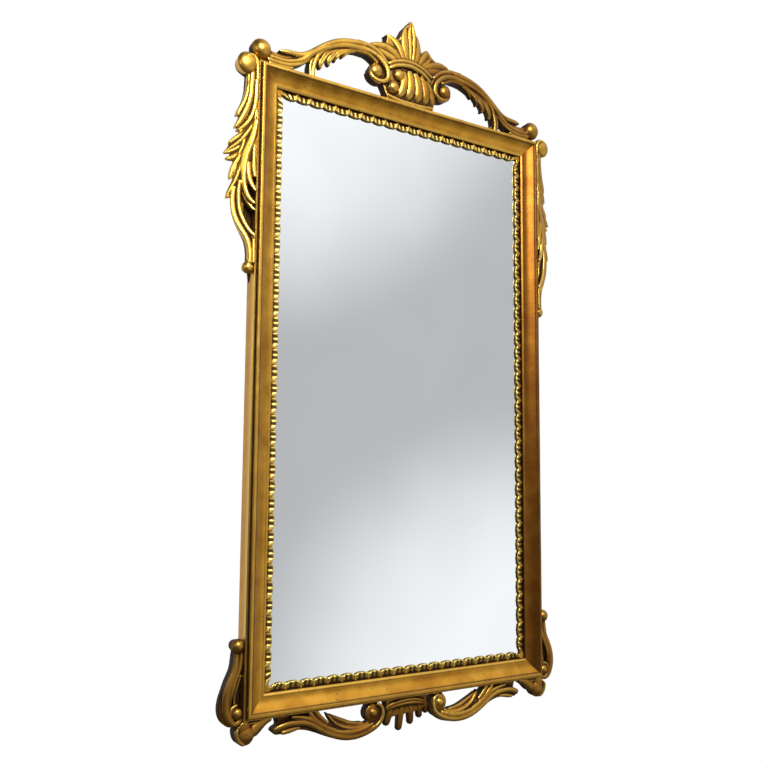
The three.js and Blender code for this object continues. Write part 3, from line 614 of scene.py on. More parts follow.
@dataclass(frozen=True)
class Dome:
    """A round boss: a dome on a straight wall."""

    x: float
    z: float
    radius: float
    front: float
    crown: float = 0.7
    back: float = CARVING_BACK
    undercut: float = 0.15

    def shell(self) -> Shell:
        """The boss as a closed shell.

        The front is at front + crown * radius * (1 - sqrt(1 - r^2)).

        Returns:
            The shell on the drawing.
        """
        around = np.linspace(0, 2 * math.pi, 49)[:-1]
        r = np.sin(np.linspace(0.02, 1, 22) * math.pi / 2)[:, None]
        depth = self.front + self.crown * self.radius * (1 - np.sqrt(1 - 0.97 * r * r)) + 0 * around
        x = self.x + self.radius * r * np.cos(around)
        z = self.z + self.radius * r * np.sin(around)
        rings = np.stack([x, np.minimum(depth, self.back - 1), z], axis=-1)
        middle = np.array([self.x, 0.0, self.z])
        foot = middle + (rings[-1:] - middle) * (1 - self.undercut)
        foot[..., 1] = self.back
        return lofted(np.concatenate([rings, foot]))


@dataclass(frozen=True)
class Ground:
    """The board that carries the strands: a smooth or straight-sided outline with a flat front."""

    outline: Sequence[tuple[float, float]]
    front: float
    smooth: bool = True

    def shell(self) -> Shell:
        """The board as a closed shell, its outline a closed Catmull-Rom curve where it is smooth."""
        line = np.array(self.outline, dtype=float)
        if self.smooth:
            t = np.linspace(0, 1, 9)[:-1][None, :, None]
            a, b, c, d = (np.roll(line, k, axis=0)[:, None] for k in (1, 0, -1, -2))
            curve = 2 * b + (c - a) * t + (2 * a - 5 * b + 4 * c - d) * t**2 + (3 * b - a - 3 * c + d) * t**3
            line = (curve / 2).reshape(-1, 2)
        count = len(line)
        front = np.stack([line[:, 0], np.full(count, self.front), line[:, 1]], axis=1)
        back = front.copy()
        back[:, 1] = CARVING_BACK
        i = np.arange(count)
        sides = np.stack([i, (i + 1) % count, (i + 1) % count + count, i + count], axis=1).tolist()
        return Shell(np.concatenate([front, back]), [*sides, i[::-1].tolist(), (i + count).tolist()])


@dataclass
class Relief:
    """Neighbours and normals of a dense mesh, and what is worked out from them."""

    points: np.ndarray
    faces: np.ndarray
    edges: np.ndarray

    def spread(self, times: int, share: float = 0.5) -> np.ndarray:
        """The points after each has moved a share of the way to its neighbours' mean, times over."""
        count = len(self.points)
        a, b = self.edges.T
        degree = np.bincount(a, minlength=count) + np.bincount(b, minlength=count)
        moved = self.points.copy()
        for _ in range(times):
            mean = np.stack(
                [
                    np.bincount(a, moved[b, k], minlength=count) + np.bincount(b, moved[a, k],
                                                                               minlength=count)
                    for k in range(3)
                ],
                axis=1,
            )
            moved += share * (mean / degree[:, None] - moved)
        return moved

    def normals(self) -> np.ndarray:
        """Outward vertex normals: the sum of each face's crossed diagonals, made one long."""
        p = self.points[self.faces]
        crossed = np.cross(p[:, 2] - p[:, 0], p[:, 3] - p[:, 1])
        total = np.zeros_like(self.points)
        for k in range(3):
            weights = np.repeat(crossed[:, k], 4)
            total[:, k] = np.bincount(self.faces.ravel(), weights, minlength=len(self.points))
        return total / np.linalg.norm(total, axis=1).clip(1e-12)[:, None]

    def hollowness(self, times: int) -> np.ndarray:
        """How far, in millimetres, the spread surface lies outside this one: above 0 in hollows."""
        return ((self.spread(times) - self.points) * self.normals()).sum(axis=1) / MM


@dataclass
class Carving:
    """A carved piece: parts that are joined into one skin and eased by hand, with umber in its hollows that
    is partly dust and partly painted shade.

    Its brown wash is given by x, as (x, share) rows from the left: partly toning lacquer and mostly painted
    shade on the parts and the side that lie in shade. lean is how much its face falls back towards the wall
    for each millimetre out from the stile.
    """

    name: str
    parts: list[Strand | Dome | Ground]
    fit: Fit
    voxel_mm: float = 0.95
    ease: int = 2
    lean: float = 0.0
    tone_and_shade: Sequence[tuple[float, float]] = ((0.0, 0.0),)

    def skin(self) -> Relief:
        """Joins the parts by voxels and eases the result.

        Returns:
            The joined skin in scene metres.
        """
        whole = Shell.joined([part.shell() for part in self.parts])
        mesh = bpy.data.meshes.new(self.name + "_parts")
        mesh.from_pydata(to_scene(self.fit(whole.points)), [], whole.faces)
        block = new_piece(self.name + "_parts", mesh)
        remesh = block.modifiers.new("joined", "REMESH")
        remesh.mode = "VOXEL"
        remesh.voxel_size = self.voxel_mm * MM
        evaluated = block.evaluated_get(bpy.context.evaluated_depsgraph_get())
        joined = bpy.data.meshes.new_from_object(evaluated)
        points = np.empty(len(joined.vertices) * 3)
        joined.vertices.foreach_get("co", points)
        faces = np.empty(len(joined.loops), dtype=int)
        joined.loops.foreach_get("vertex_index", faces)
        edges = np.empty(len(joined.edges) * 2, dtype=int)
        joined.edges.foreach_get("vertices", edges)
        bpy.data.objects.remove(block)
        bpy.data.meshes.remove(mesh)
        bpy.data.meshes.remove(joined)
        relief = Relief(points.reshape(-1, 3), faces.reshape(-1, 4), edges.reshape(-1, 2))
        relief.points = relief.spread(self.ease)
        return relief

    def carved(self, relief: Relief, mirror: bool = False) -> bpy.types.Mesh:
        """Makes a mesh of a skin, with the shares for its finish kept for each vertex.

        Hollows are where the spread skin lies outside this one, and where it is deep or turns away from the
        front; the umber there is partly dust and partly painted shade. Ridges are the opposite, and get a
        painted highlight and wear.

        Args:
            relief: the joined skin.
            mirror: whether it is the left-hand twin.

        Returns:
            The mesh in scene metres.
        """
        points = relief.points * ([-1, 1, 1] if mirror else [1, 1, 1])
        faces = relief.faces[:, ::-1] if mirror else relief.faces
        mesh = bpy.data.meshes.new(self.name)
        mesh.from_pydata(points, [], faces.tolist())
        mesh.shade_smooth()
        fine = relief.hollowness(4)
        broad = relief.hollowness(40)
        out = np.abs(points[:, 0]) / MM - SEAT_SIDE
        depth = points[:, 1] / MM + FRAME_DEPTH - self.lean * out.clip(0)
        turned = 1 - np.abs(relief.normals()[:, 1])
        # Painted shade: deep places and walls turned away from the front are darkened because shade falls
        # there.
        buried = smooth_step(depth, 12.5, 21.0)
        wall = turned * smooth_step(depth, 8.5, 15.0)
        # Hollow share: fine and broad hollows, partly dust and partly painted shade, plus the painted shade
        # of deep places and turned walls.
        hollow = 3.0 * fine.clip(0) + 0.75 * broad.clip(0) + 0.75 * buried + 0.55 * wall
        store(mesh, "hollow", np.clip(hollow, 0, 1))
        # Ridge share: drives the painted highlight and the wear through to bole, and is kept off shaded
        # places.
        ridge = 2.2 * (-fine).clip(0) + 0.3 * (-broad).clip(0) - buried - 0.5 * wall
        store(mesh, "ridge", np.clip(ridge, 0, 1))
        # Tone share by x: a brown wash, mostly painted shade on the side and parts in shade.
        at, share = np.array(self.tone_and_shade).T
        store(mesh, "tone", np.interp(points[:, 0] / MM, at, share))
        return mesh

    def dress(self, mesh: bpy.types.Mesh, name: str, finishes: Finishes) -> bpy.types.Object:
        """Makes the piece of a carved mesh: gilded, with bare wood on its flat back.

        Args:
            mesh: the carved mesh.
            name: the node that the piece stands for.
            finishes: the mirror's finishes.

        Returns:
            The finished piece.
        """
        mesh.materials.append(finishes.gilding)
        mesh.materials.append(finishes.pine)
        count = len(mesh.polygons)
        normal = np.empty(count * 3)
        mesh.polygons.foreach_get("normal", normal)
        middle = np.empty(count * 3)
        mesh.polygons.foreach_get("center", middle)
        deep = middle[1::3] / MM + FRAME_DEPTH > 17
        bare = (normal[1::3] > 0.75) & deep
        mesh.polygons.foreach_set("material_index", bare.astype(np.int32))
        piece = new_piece("carved_" + name, mesh)
        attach(piece, "frame")
        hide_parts(name)
        LOG.info("%s: %d faces", piece.name, count)
        return piece

    def place(self, finishes: Finishes) -> None:
        """Builds the piece where it is a single one across the centre line."""
        self.dress(self.carved(self.skin()), self.name, finishes)

    def place_pair(self, finishes: Finishes) -> None:
        """Builds the right-hand piece and its mirror image on the left."""
        relief = self.skin()
        self.dress(self.carved(relief), self.name + "_right", finishes)
        self.dress(self.carved(relief, mirror=True), self.name + "_left", finishes)


def sawn(mesh: bpy.types.Mesh, low: float, high: float) -> bpy.types.Mesh:
    """The part of a carved mesh between two upright cuts, closed at the cuts.

    Args:
        mesh: the whole mesh.
        low: the left cut in scene metres.
        high: the right cut.

    Returns:
        A new mesh.
    """
    work = bmesh.new()
    work.from_mesh(mesh)
    for at, away in ((low, -1.0), (high, 1.0)):
        everything = [*work.verts, *work.edges, *work.faces]
        bmesh.ops.bisect_plane(work, geom=everything, plane_co=(at, 0, 0), plane_no=(away, 0, 0),
                               clear_outer=True)
    rims = [edge for edge in work.edges if edge.is_boundary]
    for rim in rims:
        rim.smooth = False
    caps = bmesh.ops.holes_fill(work, edges=rims, sides=0)["faces"]
    for cap in caps:
        cap.smooth = False
    part = bpy.data.meshes.new(mesh.name + "_part")
    work.to_mesh(part)
    work.free()
    return part


def both_sides(parts: Sequence[Strand | Dome | Ground]) -> list[Strand | Dome | Ground]:
    """The parts and their mirror images across the centre line."""
    made: list[Strand | Dome | Ground] = []
    for part in parts:
        made.append(part)
        if isinstance(part, Dome):
            made.append(replace(part, x=-part.x))
        elif isinstance(part, Ground):
            made.append(replace(part, outline=[(-x, z) for x, z in part.outline]))
        else:
            made.append(replace(part, points=[(-x, z, w, d) for x, z, w, d in part.points]))
    return made


def held_above(points: np.ndarray) -> np.ndarray:
    """Keeps the crest on the top rail."""
    points = points.copy()
    points[:, 2] = np.maximum(points[:, 2], SEAT_TOP)
    return points


def held_below(points: np.ndarray) -> np.ndarray:
    """Keeps the apron under the bottom rail."""
    points = points.copy()
    points[:, 2] = np.minimum(points[:, 2], -SEAT_TOP)
    return points


def held_beside(points: np.ndarray) -> np.ndarray:
    """Keeps a side carving out from the stile."""
    points = points.copy()
    points[:, 0] = np.maximum(points[:, 0], SEAT_SIDE)
    return points


@dataclass
class Crest:
    """The crest: carved as one board and sawn into the cartouche and its two leafy arms."""

    # Painted shade: the brown wash rises from left to right, so that the right side of the crest reads
    # darker.
    tone_and_shade: Sequence[tuple[float, float]] = ((-300, 0.12), (-120, 0.12), (-60, 0.1), (-10, 0.2), (30, 0.5),
                                           (80, 0.8),
                                           (300, 0.75))
    web_depth: float = 12.0

    def palmette(self) -> list[Strand | Dome | Ground]:
        """The fan of petals over the crown band, a little different on its two sides as handwork is."""
        return [
            Strand([(0, 578, 6, 9), (1.5, 600, 9, 7.5), (2, 620, 11, 8), (1.5, 638, 10.5, 8.5),
                    (1, 650, 7, 9.5), (0.5, 660.2, 2.8, 11)], reeds=2, crown=0.35),
            Strand([(-7, 579, 4.5, 9.5), (-11.5, 600, 7.5, 8), (-13.5, 618, 8, 8.5), (-13.5, 632, 6.4, 9.5),
                    (-12, 645, 2.4, 11)], crown=0.4),
            Strand([(-13, 579, 4.5, 10), (-21, 597, 6, 8.5), (-30, 610, 6, 9), (-39, 617, 4.6, 10.5),
                    (-47, 620, 2.6, 12), (-52, 621, 1, 14)], crown=0.5),
            Strand([(-17, 579, 4.5, 10.5), (-29, 592, 6, 10.5), (-38, 602, 5.6, 12), (-46, 608, 4, 14.5),
                    (-51, 609, 1.6, 17)]),
            Strand([(-20, 578, 4.5, 10), (-34, 590, 6.5, 9), (-52, 597, 6.5, 9), (-70, 596.5, 5.4, 10),
                    (-86, 593, 3, 12)], crown=0.5),
            Strand([(-22, 575, 4, 10.5), (-40, 581, 6, 9.5), (-58, 586, 6, 10), (-74, 589, 5, 11)],
                   crown=0.5),
            Strand([(7, 579, 4.5, 9.5), (12.5, 598, 7, 8.5), (14.5, 612, 7, 9), (14.5, 624, 5, 10),
                    (13, 636, 2, 11.5)], crown=0.4),
            Strand([(13, 579, 4.5, 10), (24, 594, 6.5, 9), (32, 606, 6.6, 10), (37, 613, 4.6, 12),
                    (39.5, 618, 1.6, 15)], crown=0.5),
            Strand([(17, 578, 4.5, 10.5), (34, 590, 6.6, 10), (42.5, 600, 5.6, 11.5), (46, 607, 3, 14)],
                   crown=0.5),
            Strand([(20, 577, 4.5, 10.5), (38, 586, 6.6, 9.5), (54, 592.5, 6.6, 9), (70, 595, 5.6, 10),
                    (86, 593, 3.4, 12)], crown=0.5),
            Strand([(22, 574, 4, 11), (42, 579, 6, 10), (60, 584, 6, 10.5), (76, 588, 5, 11.5)], crown=0.5),
            Ground([(0, 566), (44, 566), (84, 590), (56, 600), (47, 606), (40, 614), (30, 610), (24, 606),
                    (20, 622), (13, 636), (6, 651), (0.5, 659), (-5, 654), (-12, 646), (-19, 634),
                    (-25, 620),
                    (-38, 615), (-50, 618), (-52, 606), (-50, 600), (-84, 590), (-44, 566)],
                   self.web_depth, smooth=False),
        ]

    def body(self) -> list[Strand | Dome | Ground]:
        """The crown band, the draped lobes below it, the beads at their sides and the pedestal."""
        bands = [
            Strand([(-48, 568, 2.8, 9.5), (-38, 574, 3.4, 8.5), (-22, 579.5, 3.8, 7.5), (-4, 581.5, 4, 7),
                    (15, 579.5, 4, 7), (32, 574, 3.8, 7.5), (47, 566, 3, 9)], round_start=True),
            Strand([(-47, 560.5, 2.6, 9), (-38, 566, 3.2, 7.5), (-22, 571.5, 3.6, 6.5), (-4, 573.8, 3.8, 6),
                    (13, 571.5, 3.8, 6), (28, 566, 3.6, 6.5), (43, 556, 2.8, 8)], round_start=True),
        ]
        lobes = [
            Dome(-26, 553, 10.5, 5, crown=0.6),
            Strand([(-17, 562, 5, 9), (-15, 548, 8, 6.5), (-16.5, 534, 8.6, 6), (-21, 522, 7, 7.5),
                    (-25.5, 513.5, 3, 11)], crown=0.5),
            Strand([(-4, 566, 5.4, 8.5), (-1.5, 550, 8, 6), (-1, 535, 8.8, 5.5), (-4, 521.5, 7.6, 7),
                    (-7.5, 512, 3.4, 11)], crown=0.5),
            Strand([(9, 565, 5.4, 8.5), (13, 551, 8, 6), (15.5, 536, 8.8, 5.5), (15, 522, 7.8, 7),
                    (12, 512.5, 3.4, 11)], crown=0.5),
            Strand([(21, 562, 5, 8.5), (26.5, 550, 7.6, 6.5), (31, 537, 8.2, 6), (32.5, 523.5, 7.4, 7.5),
                    (30.5, 513.5, 3.4, 11)], crown=0.5),
            Strand([(32, 556, 4.4, 9), (39.5, 546, 6.4, 7.5), (45, 535, 6.8, 7.5), (47.5, 523.5, 5.6, 9),
                    (47, 516, 2.6, 12)], crown=0.5),
            Dome(-39.5, 527, 11, 1.8, crown=0.8),
            Strand([(-50, 513, 3, 11), (-30, 508.5, 3.2, 10), (-4, 507, 3.2, 9.5), (22, 507.5, 3.2, 9.5),
                    (50, 511, 3, 11)], crown=0.6, round_end=False),
        ]
        pedestal = Ground([(49, 503), (51, 512), (54, 520), (60, 531), (48, 570), (-48, 570), (-60, 531),
                           (-54, 520), (-51, 512), (-49, 503)], 13.0, smooth=False)
        return [*bands, *lobes, pedestal]

    def volutes(self) -> list[Strand | Dome | Ground]:
        """The scrolls that the arms run into: a trough between two rims, coiled round a domed eye."""
        return [
            Strand([(112, 582, 10, 12.5), (92, 582.5, 10, 12), (73, 576, 10, 11), (57, 565, 8, 10.5),
                    (50, 548, 5.2, 10), (56, 535.5, 4.2, 10.5), (69, 532, 3.6, 11), (80, 537, 3, 12)],
                   crown=0.5, undercut=0.15),
            Strand([(112, 588.6, 4.6, 7.5), (90, 588.6, 4.4, 8), (76, 586, 4.4, 8.5), (62, 578.5, 4.2, 9),
                    (50, 567, 3, 10)], round_end=True),
            Strand([(112, 579.4, 4.8, 7.8), (90, 579.6, 4.4, 7.2), (73.5, 574.5, 4.4, 6),
                    (59.5, 564.5, 4.4, 5),
                    (51, 550, 4.2, 4.5), (53, 537.8, 4, 5), (63.5, 531, 3.8, 5.5), (75, 531.8, 3.4, 6.5),
                    (83.5, 537.5, 2.6, 8), (87, 546, 1.8, 9.5)]),
            Strand([(112, 574.4, 3.6, 9.5), (92, 574.8, 3.8, 9.5), (79, 569.5, 3.8, 9.5),
                    (69, 562, 3, 10)]),
            Ground([(83, 549), (79, 561), (70, 567), (58, 563), (54, 550), (60, 538), (72, 534), (81, 539)],
                   13.5),
            Dome(75, 547.5, 12.4, 3.0, crown=0.65),
        ]

    def arm(self) -> list[Strand | Dome | Ground]:
        """An arm: three bands from the corner boss, a hooked leaf, a forked strut and four lobes."""
        body = [
            Strand([(92, 583, 9, 13), (122, 582.5, 9, 12), (142, 577, 9, 12), (162, 566.5, 9, 12),
                    (182, 552, 9, 13), (202, 538, 8.5, 13), (222, 527, 8.5, 13), (244, 520, 8.5, 13),
                    (266, 519.5, 8.5, 13), (284, 522, 8.5, 13)], crown=0.4, undercut=0.5, round_end=False),
            Ground([(230, 502), (293, 502), (293, 520), (236, 518)], 14, smooth=False),
        ]
        bands = [
            Strand([(259.5, 532, 1.6, 12), (250, 533, 3.4, 10), (236, 533.5, 4, 9), (222, 535, 4.4, 9),
                    (208, 540.5, 4.8, 8.5), (194, 550.2, 5.2, 8), (177, 562.6, 5.4, 7.5),
                    (158, 574.2, 5.4, 7),
                    (138, 581.8, 5.4, 7), (118, 586, 5.2, 7), (96, 588, 4.6, 7.5)],
                   round_start=True, round_end=False),
            Strand([(281, 518, 3.2, 9.5), (264, 516.6, 3.2, 9), (250, 517, 3.4, 9), (237, 519.6, 3.6, 9),
                    (225, 524, 3.8, 9), (214, 530.8, 4, 8.5), (203, 540.4, 4.2, 8), (190, 551, 4.4, 7.5),
                    (176, 559.8, 4.6, 7.5), (160, 568, 4.8, 7.5), (142, 574.6, 5, 7.5),
                    (122, 578.4, 5, 7.5),
                    (96, 579.4, 4.8, 7.8)], round_end=False),
            Strand([(281, 511.6, 3, 9.5), (262, 510.8, 3, 9.5), (248, 511.4, 3, 9.5), (236, 514, 3, 9.5),
                    (225, 518, 3, 9.5), (215, 524, 3, 10), (207, 531, 2.6, 10), (201, 538, 1.6, 11)]),
            Strand([(278, 506.4, 2.6, 10.5), (258, 505.8, 2.6, 10.5), (245, 506.6, 2.4, 10.5),
                    (233, 509, 1.6, 11)]),
            Strand([(96, 574.8, 3.6, 9.5), (118, 573.6, 3.8, 10), (132, 569, 3.4, 10.5),
                    (144, 562.8, 2.2, 11.5)]),
        ]
        strut = [
            Strand([(201, 502, 2.8, 12), (202, 512, 2.8, 11), (202.5, 520, 2.8, 11), (200.5, 530, 2.6, 11),
                    (197, 539, 2.1, 11), (193, 546, 1.2, 11)]),
            Strand([(196, 502, 3.2, 11), (197, 513, 3.2, 10), (195.6, 525, 3.2, 9.5), (192, 537, 3.2, 9),
                    (186, 547, 3.2, 8.5), (177, 556, 3, 8.5), (165, 564.5, 2.6, 9), (151, 571, 2.2, 9.5),
                    (136, 575, 1.4, 10)]),
        ]
        lobes = [
            Strand([(150, 566, 3.4, 10.5), (163, 559, 4.8, 10), (173, 549.5, 5.4, 9.5),
                    (180, 538.5, 5.4, 9.5),
                    (183.5, 529, 4.6, 11), (181.5, 522.5, 2.4, 14)], reeds=2, crown=0.5, back=24),
            Strand([(134, 568, 3.4, 11), (147, 562, 4.6, 10.5), (158, 553.5, 5.2, 10), (165, 544.5, 5, 10),
                    (167.5, 537.5, 4, 12), (164.5, 532.5, 2.2, 15)], reeds=2, crown=0.5, back=24),
            Strand([(118, 571, 3.4, 11), (133, 567, 4.2, 10.5), (145, 560.5, 4.8, 10),
                    (153, 552.5, 4.6, 10.5),
                    (155, 547, 3.4, 13), (153, 543, 1.8, 16)], reeds=2, crown=0.5, back=24),
            Strand([(104, 576, 3, 10.5), (120, 572.6, 3.6, 10.5), (131, 566.2, 3.8, 11),
                    (138, 558.6, 3, 13),
                    (141, 553.2, 1.6, 16)], crown=0.5, back=24),
        ]
        boss = Dome(*CORNER_BOSS, CORNER_BOSS_RADIUS, 2.6, crown=0.85, undercut=0.1)
        return [*body, *bands, *strut, *lobes, boss]

    def place(self, finishes: Finishes) -> None:
        """Carves the whole crest and saws it where its three boards meet."""
        parts = [*self.palmette(), *self.body(), *both_sides(self.volutes()), *both_sides(self.arm())]
        whole = Carving("crest", parts, held_above, tone_and_shade=self.tone_and_shade)
        mesh = whole.carved(whole.skin())
        cut = CARTOUCHE_HALF_WIDTH * MM
        reach = 1.0
        for name, low, high in (("crest_cartouche", -cut, cut), ("crest_scroll_left", -reach, -cut),
                                ("crest_scroll_right", cut, reach)):
            whole.dress(sawn(mesh, low, high), name, finishes)
        bpy.data.meshes.remove(mesh)


@dataclass
class SideCarvings:
    """The leaf drop from each top corner and the S-scroll over each bottom one."""

    drop_front: float = 7.0
    drop_lean: float = 0.44
    leaf_depth: float = 10.5
    leaf_swell: float = 1.18
    scribe_gap: float = 0.3
    foot_gap: float = 0.15

    def leaf(self, points: Sequence[tuple[float, float, float]], proud: float = 2.5, **cut) -> Strand:
        """A strand on the drop's face, which leans back towards the wall as it goes out.

        Args:
            points: rows of x, z and half width.
            proud: how far its ridge stands out of the leaning face.
            cut: how the strand is cut across.

        Returns:
            The strand.
        """
        face = self.drop_front - proud
        swell = self.leaf_swell
        leaning = [(x, z, w * swell, face + self.drop_lean * (x - SEAT_SIDE)) for x, z, w in points]
        deepest = max(row[3] for row in leaning)
        cut.setdefault("back", min(CARVING_BACK, deepest + self.leaf_depth))
        cut.setdefault("undercut", 0.35)
        return Strand(leaning, **cut)

    def fit_drop(self, points: np.ndarray) -> np.ndarray:
        """Keeps the drop beside the stile, and scribes it round the crest's corner boss."""
        points = held_beside(points)
        away = points[:, [0, 2]] - np.array(CORNER_BOSS)
        distance = np.linalg.norm(away, axis=1).clip(1e-6)
        reach = np.maximum(distance, CORNER_BOSS_RADIUS + self.scribe_gap)
        points[:, [0, 2]] = np.array(CORNER_BOSS) + away * (reach / distance)[:, None]
        return held_beside(points)

    def drop(self) -> Carving:
        """The volute, its reeds, the leaves that hang from them and the finial."""
        volute = [
            Dome(314.4, 495.6, 18, 3.2, crown=0.58, undercut=0.2),
            Strand([(311, 492.5, 2, 4.5), (316.5, 494, 2.6, 4), (318.6, 499.5, 2.8, 4),
                    (315.5, 505.5, 2.8, 4.2),
                    (309, 507.4, 2.8, 4.4), (302.6, 503.5, 2.8, 4.6), (299.8, 495, 2.9, 5),
                    (299, 483, 3.1, 5.5), (298.8, 466, 3.2, 6)], round_end=False, round_start=True),
            Ground([(297, 482), (316, 480), (326, 494), (318, 508), (304, 508), (297, 498)], 17),
        ]
        reeds = [
            self.leaf([(309.8, 487, 3.8), (310.2, 470, 4), (310.6, 456, 4.2), (312.8, 442, 4.6),
                       (317.4, 427.5, 4.8),
                       (323.2, 416.5, 4), (327.5, 409, 1.6)], 2.5, crown=0.45),
            self.leaf([(305, 488, 3.6), (306.2, 470, 4.4), (306.6, 455, 4.6), (308, 440, 4.8),
                       (312, 424, 5),
                       (317, 410.5, 5), (323, 399, 4.2), (329.5, 389.5, 1.4)], 3.0, crown=0.5),
            self.leaf([(299.6, 470, 3.6), (299.8, 450, 3.8), (300.5, 434, 4), (303, 418, 4.2),
                       (307.5, 405, 4.4),
                       (314, 395.5, 4), (321, 389, 3.2), (327, 385.8, 1.4)], 2.5, crown=0.5),
        ]
        webs = [
            self.leaf([(305, 490, 6.5), (306, 465, 8), (307.5, 440, 8.5), (312, 420, 8), (318, 405, 6.5),
                       (324, 394, 3)], -1.2, crown=0.1),
            self.leaf([(302, 424, 4), (305, 402, 7), (312, 384, 9), (321, 370, 8.5), (331, 359.5, 6.5),
                       (340, 351, 2.5)], -1.0, crown=0.1),
            self.leaf([(301, 404, 4), (305, 378, 8), (311, 352, 10.5), (317, 328, 10), (322, 306, 8.5),
                       (328, 290, 6), (333, 280, 2.5)], -0.8, crown=0.1),
            self.leaf([(311, 372, 5), (318, 358, 7.5), (326, 348, 6.5), (335, 342, 4)], -0.8, crown=0.1),
            self.leaf([(313, 312, 6), (316, 292, 7), (318, 272, 6.5), (318, 256, 5.5), (314, 240, 4.5),
                       (307, 224, 4), (302, 204, 4)], -3.2, crown=0.1),
        ]
        leaves = [
            self.leaf([(301, 409, 3), (305.5, 395, 4.2), (312.5, 384.5, 4.6), (321, 376.5, 4.6),
                       (330, 370, 3.8),
                       (338, 363, 1.6)], 2.2, crown=0.5),
            self.leaf([(299, 420, 3.6), (300.8, 402, 5), (306, 388, 6.4), (313, 375.5, 7), (321, 365, 7),
                       (330, 357, 6), (338.5, 350.8, 4), (345.5, 346, 1.4)], 3.2, crown=0.4, reeds=2),
            self.leaf([(300.5, 392, 3.6), (304.5, 376, 5), (310.5, 362.5, 5.4), (318, 351.5, 5.2),
                       (327, 343.5, 4.8), (336, 339.5, 3.6), (343, 338.5, 1.4)], 2.4, crown=0.5),
            self.leaf([(314, 352, 4), (320, 342, 5), (326.2, 332, 5), (331, 321.5, 4), (334, 312, 2.4),
                       (335, 306, 1.2)], 3.0, crown=0.45),
            self.leaf([(311.5, 350, 4.6), (316.5, 334, 5.8), (320.8, 318.5, 6), (325, 304.5, 6),
                       (330.8, 292, 5.4),
                       (336, 282, 3.8), (339.5, 275.5, 1.6)], 3.6, crown=0.45, reeds=2),
            self.leaf([(299.5, 404, 3.6), (302, 384, 5.2), (306, 366, 6.6), (310.8, 350.5, 7.2),
                       (314, 334, 6.6),
                       (315.4, 318, 5), (315, 303, 4.2), (312, 288.5, 4), (306.5, 276.8, 3.4),
                       (299.5, 269.5, 2.2)],
                      4.8, section=Section.LEAF, crown=0.5),
            self.leaf([(309, 336, 3), (308.4, 320, 3.6), (305.4, 305, 3.4), (300.8, 295, 2.4),
                       (298, 290, 1.2)], 2.6),
            self.leaf([(299.4, 398, 2), (300.2, 372, 3), (300.8, 346, 3.4), (300.8, 326, 3),
                       (299.4, 312, 1.6)], 1.4),
            self.leaf([(318, 300, 2.4), (314, 284, 2.8), (308.5, 272.5, 2.6), (302, 264, 2.2),
                       (298, 260, 1.6)], 1.0),
            self.leaf([(321.5, 305, 2.6), (323, 289, 3), (322.8, 274, 3), (320.8, 258, 3), (316, 243.5, 3),
                       (309.5, 231, 3), (303, 222.5, 2.8), (298.5, 218.5, 2.4)], 5.4, crown=0.7),
            self.leaf([(328, 294, 3), (329.6, 279, 4.6), (329, 264, 4.8), (326.2, 250, 4.8),
                       (321, 237.5, 4.8),
                       (314.5, 226, 4.6), (308.5, 214.5, 3.8), (305, 202, 3.4), (303.8, 189, 3.4),
                       (304, 176, 3.8)], 3.2, round_end=False, crown=0.5, back=24),
            self.leaf([(299.4, 218, 2.4), (299.4, 204, 2.8), (299, 188, 2.8), (299, 176, 2.8)], 3.5,
                      round_end=False),
        ]
        finial = [
            Dome(305, 170, 10.2, 6.5, crown=0.95, undercut=0.45, back=26),
            Dome(299.5, 217.5, 4.2, 3.5, crown=0.9),
        ]
        ground = Ground([(295, 492), (308, 484), (309, 445), (312, 418), (318, 388), (325, 352), (321, 322),
                         (320, 290), (318, 262), (308, 226), (301, 205), (301, 176), (295, 172)], 23.5)
        parts = [ground, *volute, *webs, *reeds, *leaves, *finial]
        # Painted shade: the brown wash rises to the right, so that the right-hand drop reads darker than the
        # left.
        return Carving("side_drop", parts, self.fit_drop, lean=self.drop_lean,
                       tone_and_shade=((-340, 0.05), (340, 0.3)))

    def past_corner(self, points: np.ndarray, side: int) -> np.ndarray:
        """Keeps points on one side of the diagonal that runs out and down from the frame's corner.

        Args:
            points: points on the drawing.
            side: 1 for the scroll above the diagonal, -1 for the foot below it.

        Returns:
            The points, moved square to the diagonal where they were past it.
        """
        past_side = points[:, 0] - (LIP_HALF_WIDTH + BASE_REVEAL)
        below_edge = points[:, 2] + LIP_HALF_HEIGHT + BASE_REVEAL
        across = past_side + below_edge
        short = np.maximum(0, self.foot_gap * math.sqrt(2) - side * across) * (points[:, 0] > SEAT_SIDE - 4)
        points = points.copy()
        points[:, 0] += side * short / 2
        points[:, 2] += side * short / 2
        return points

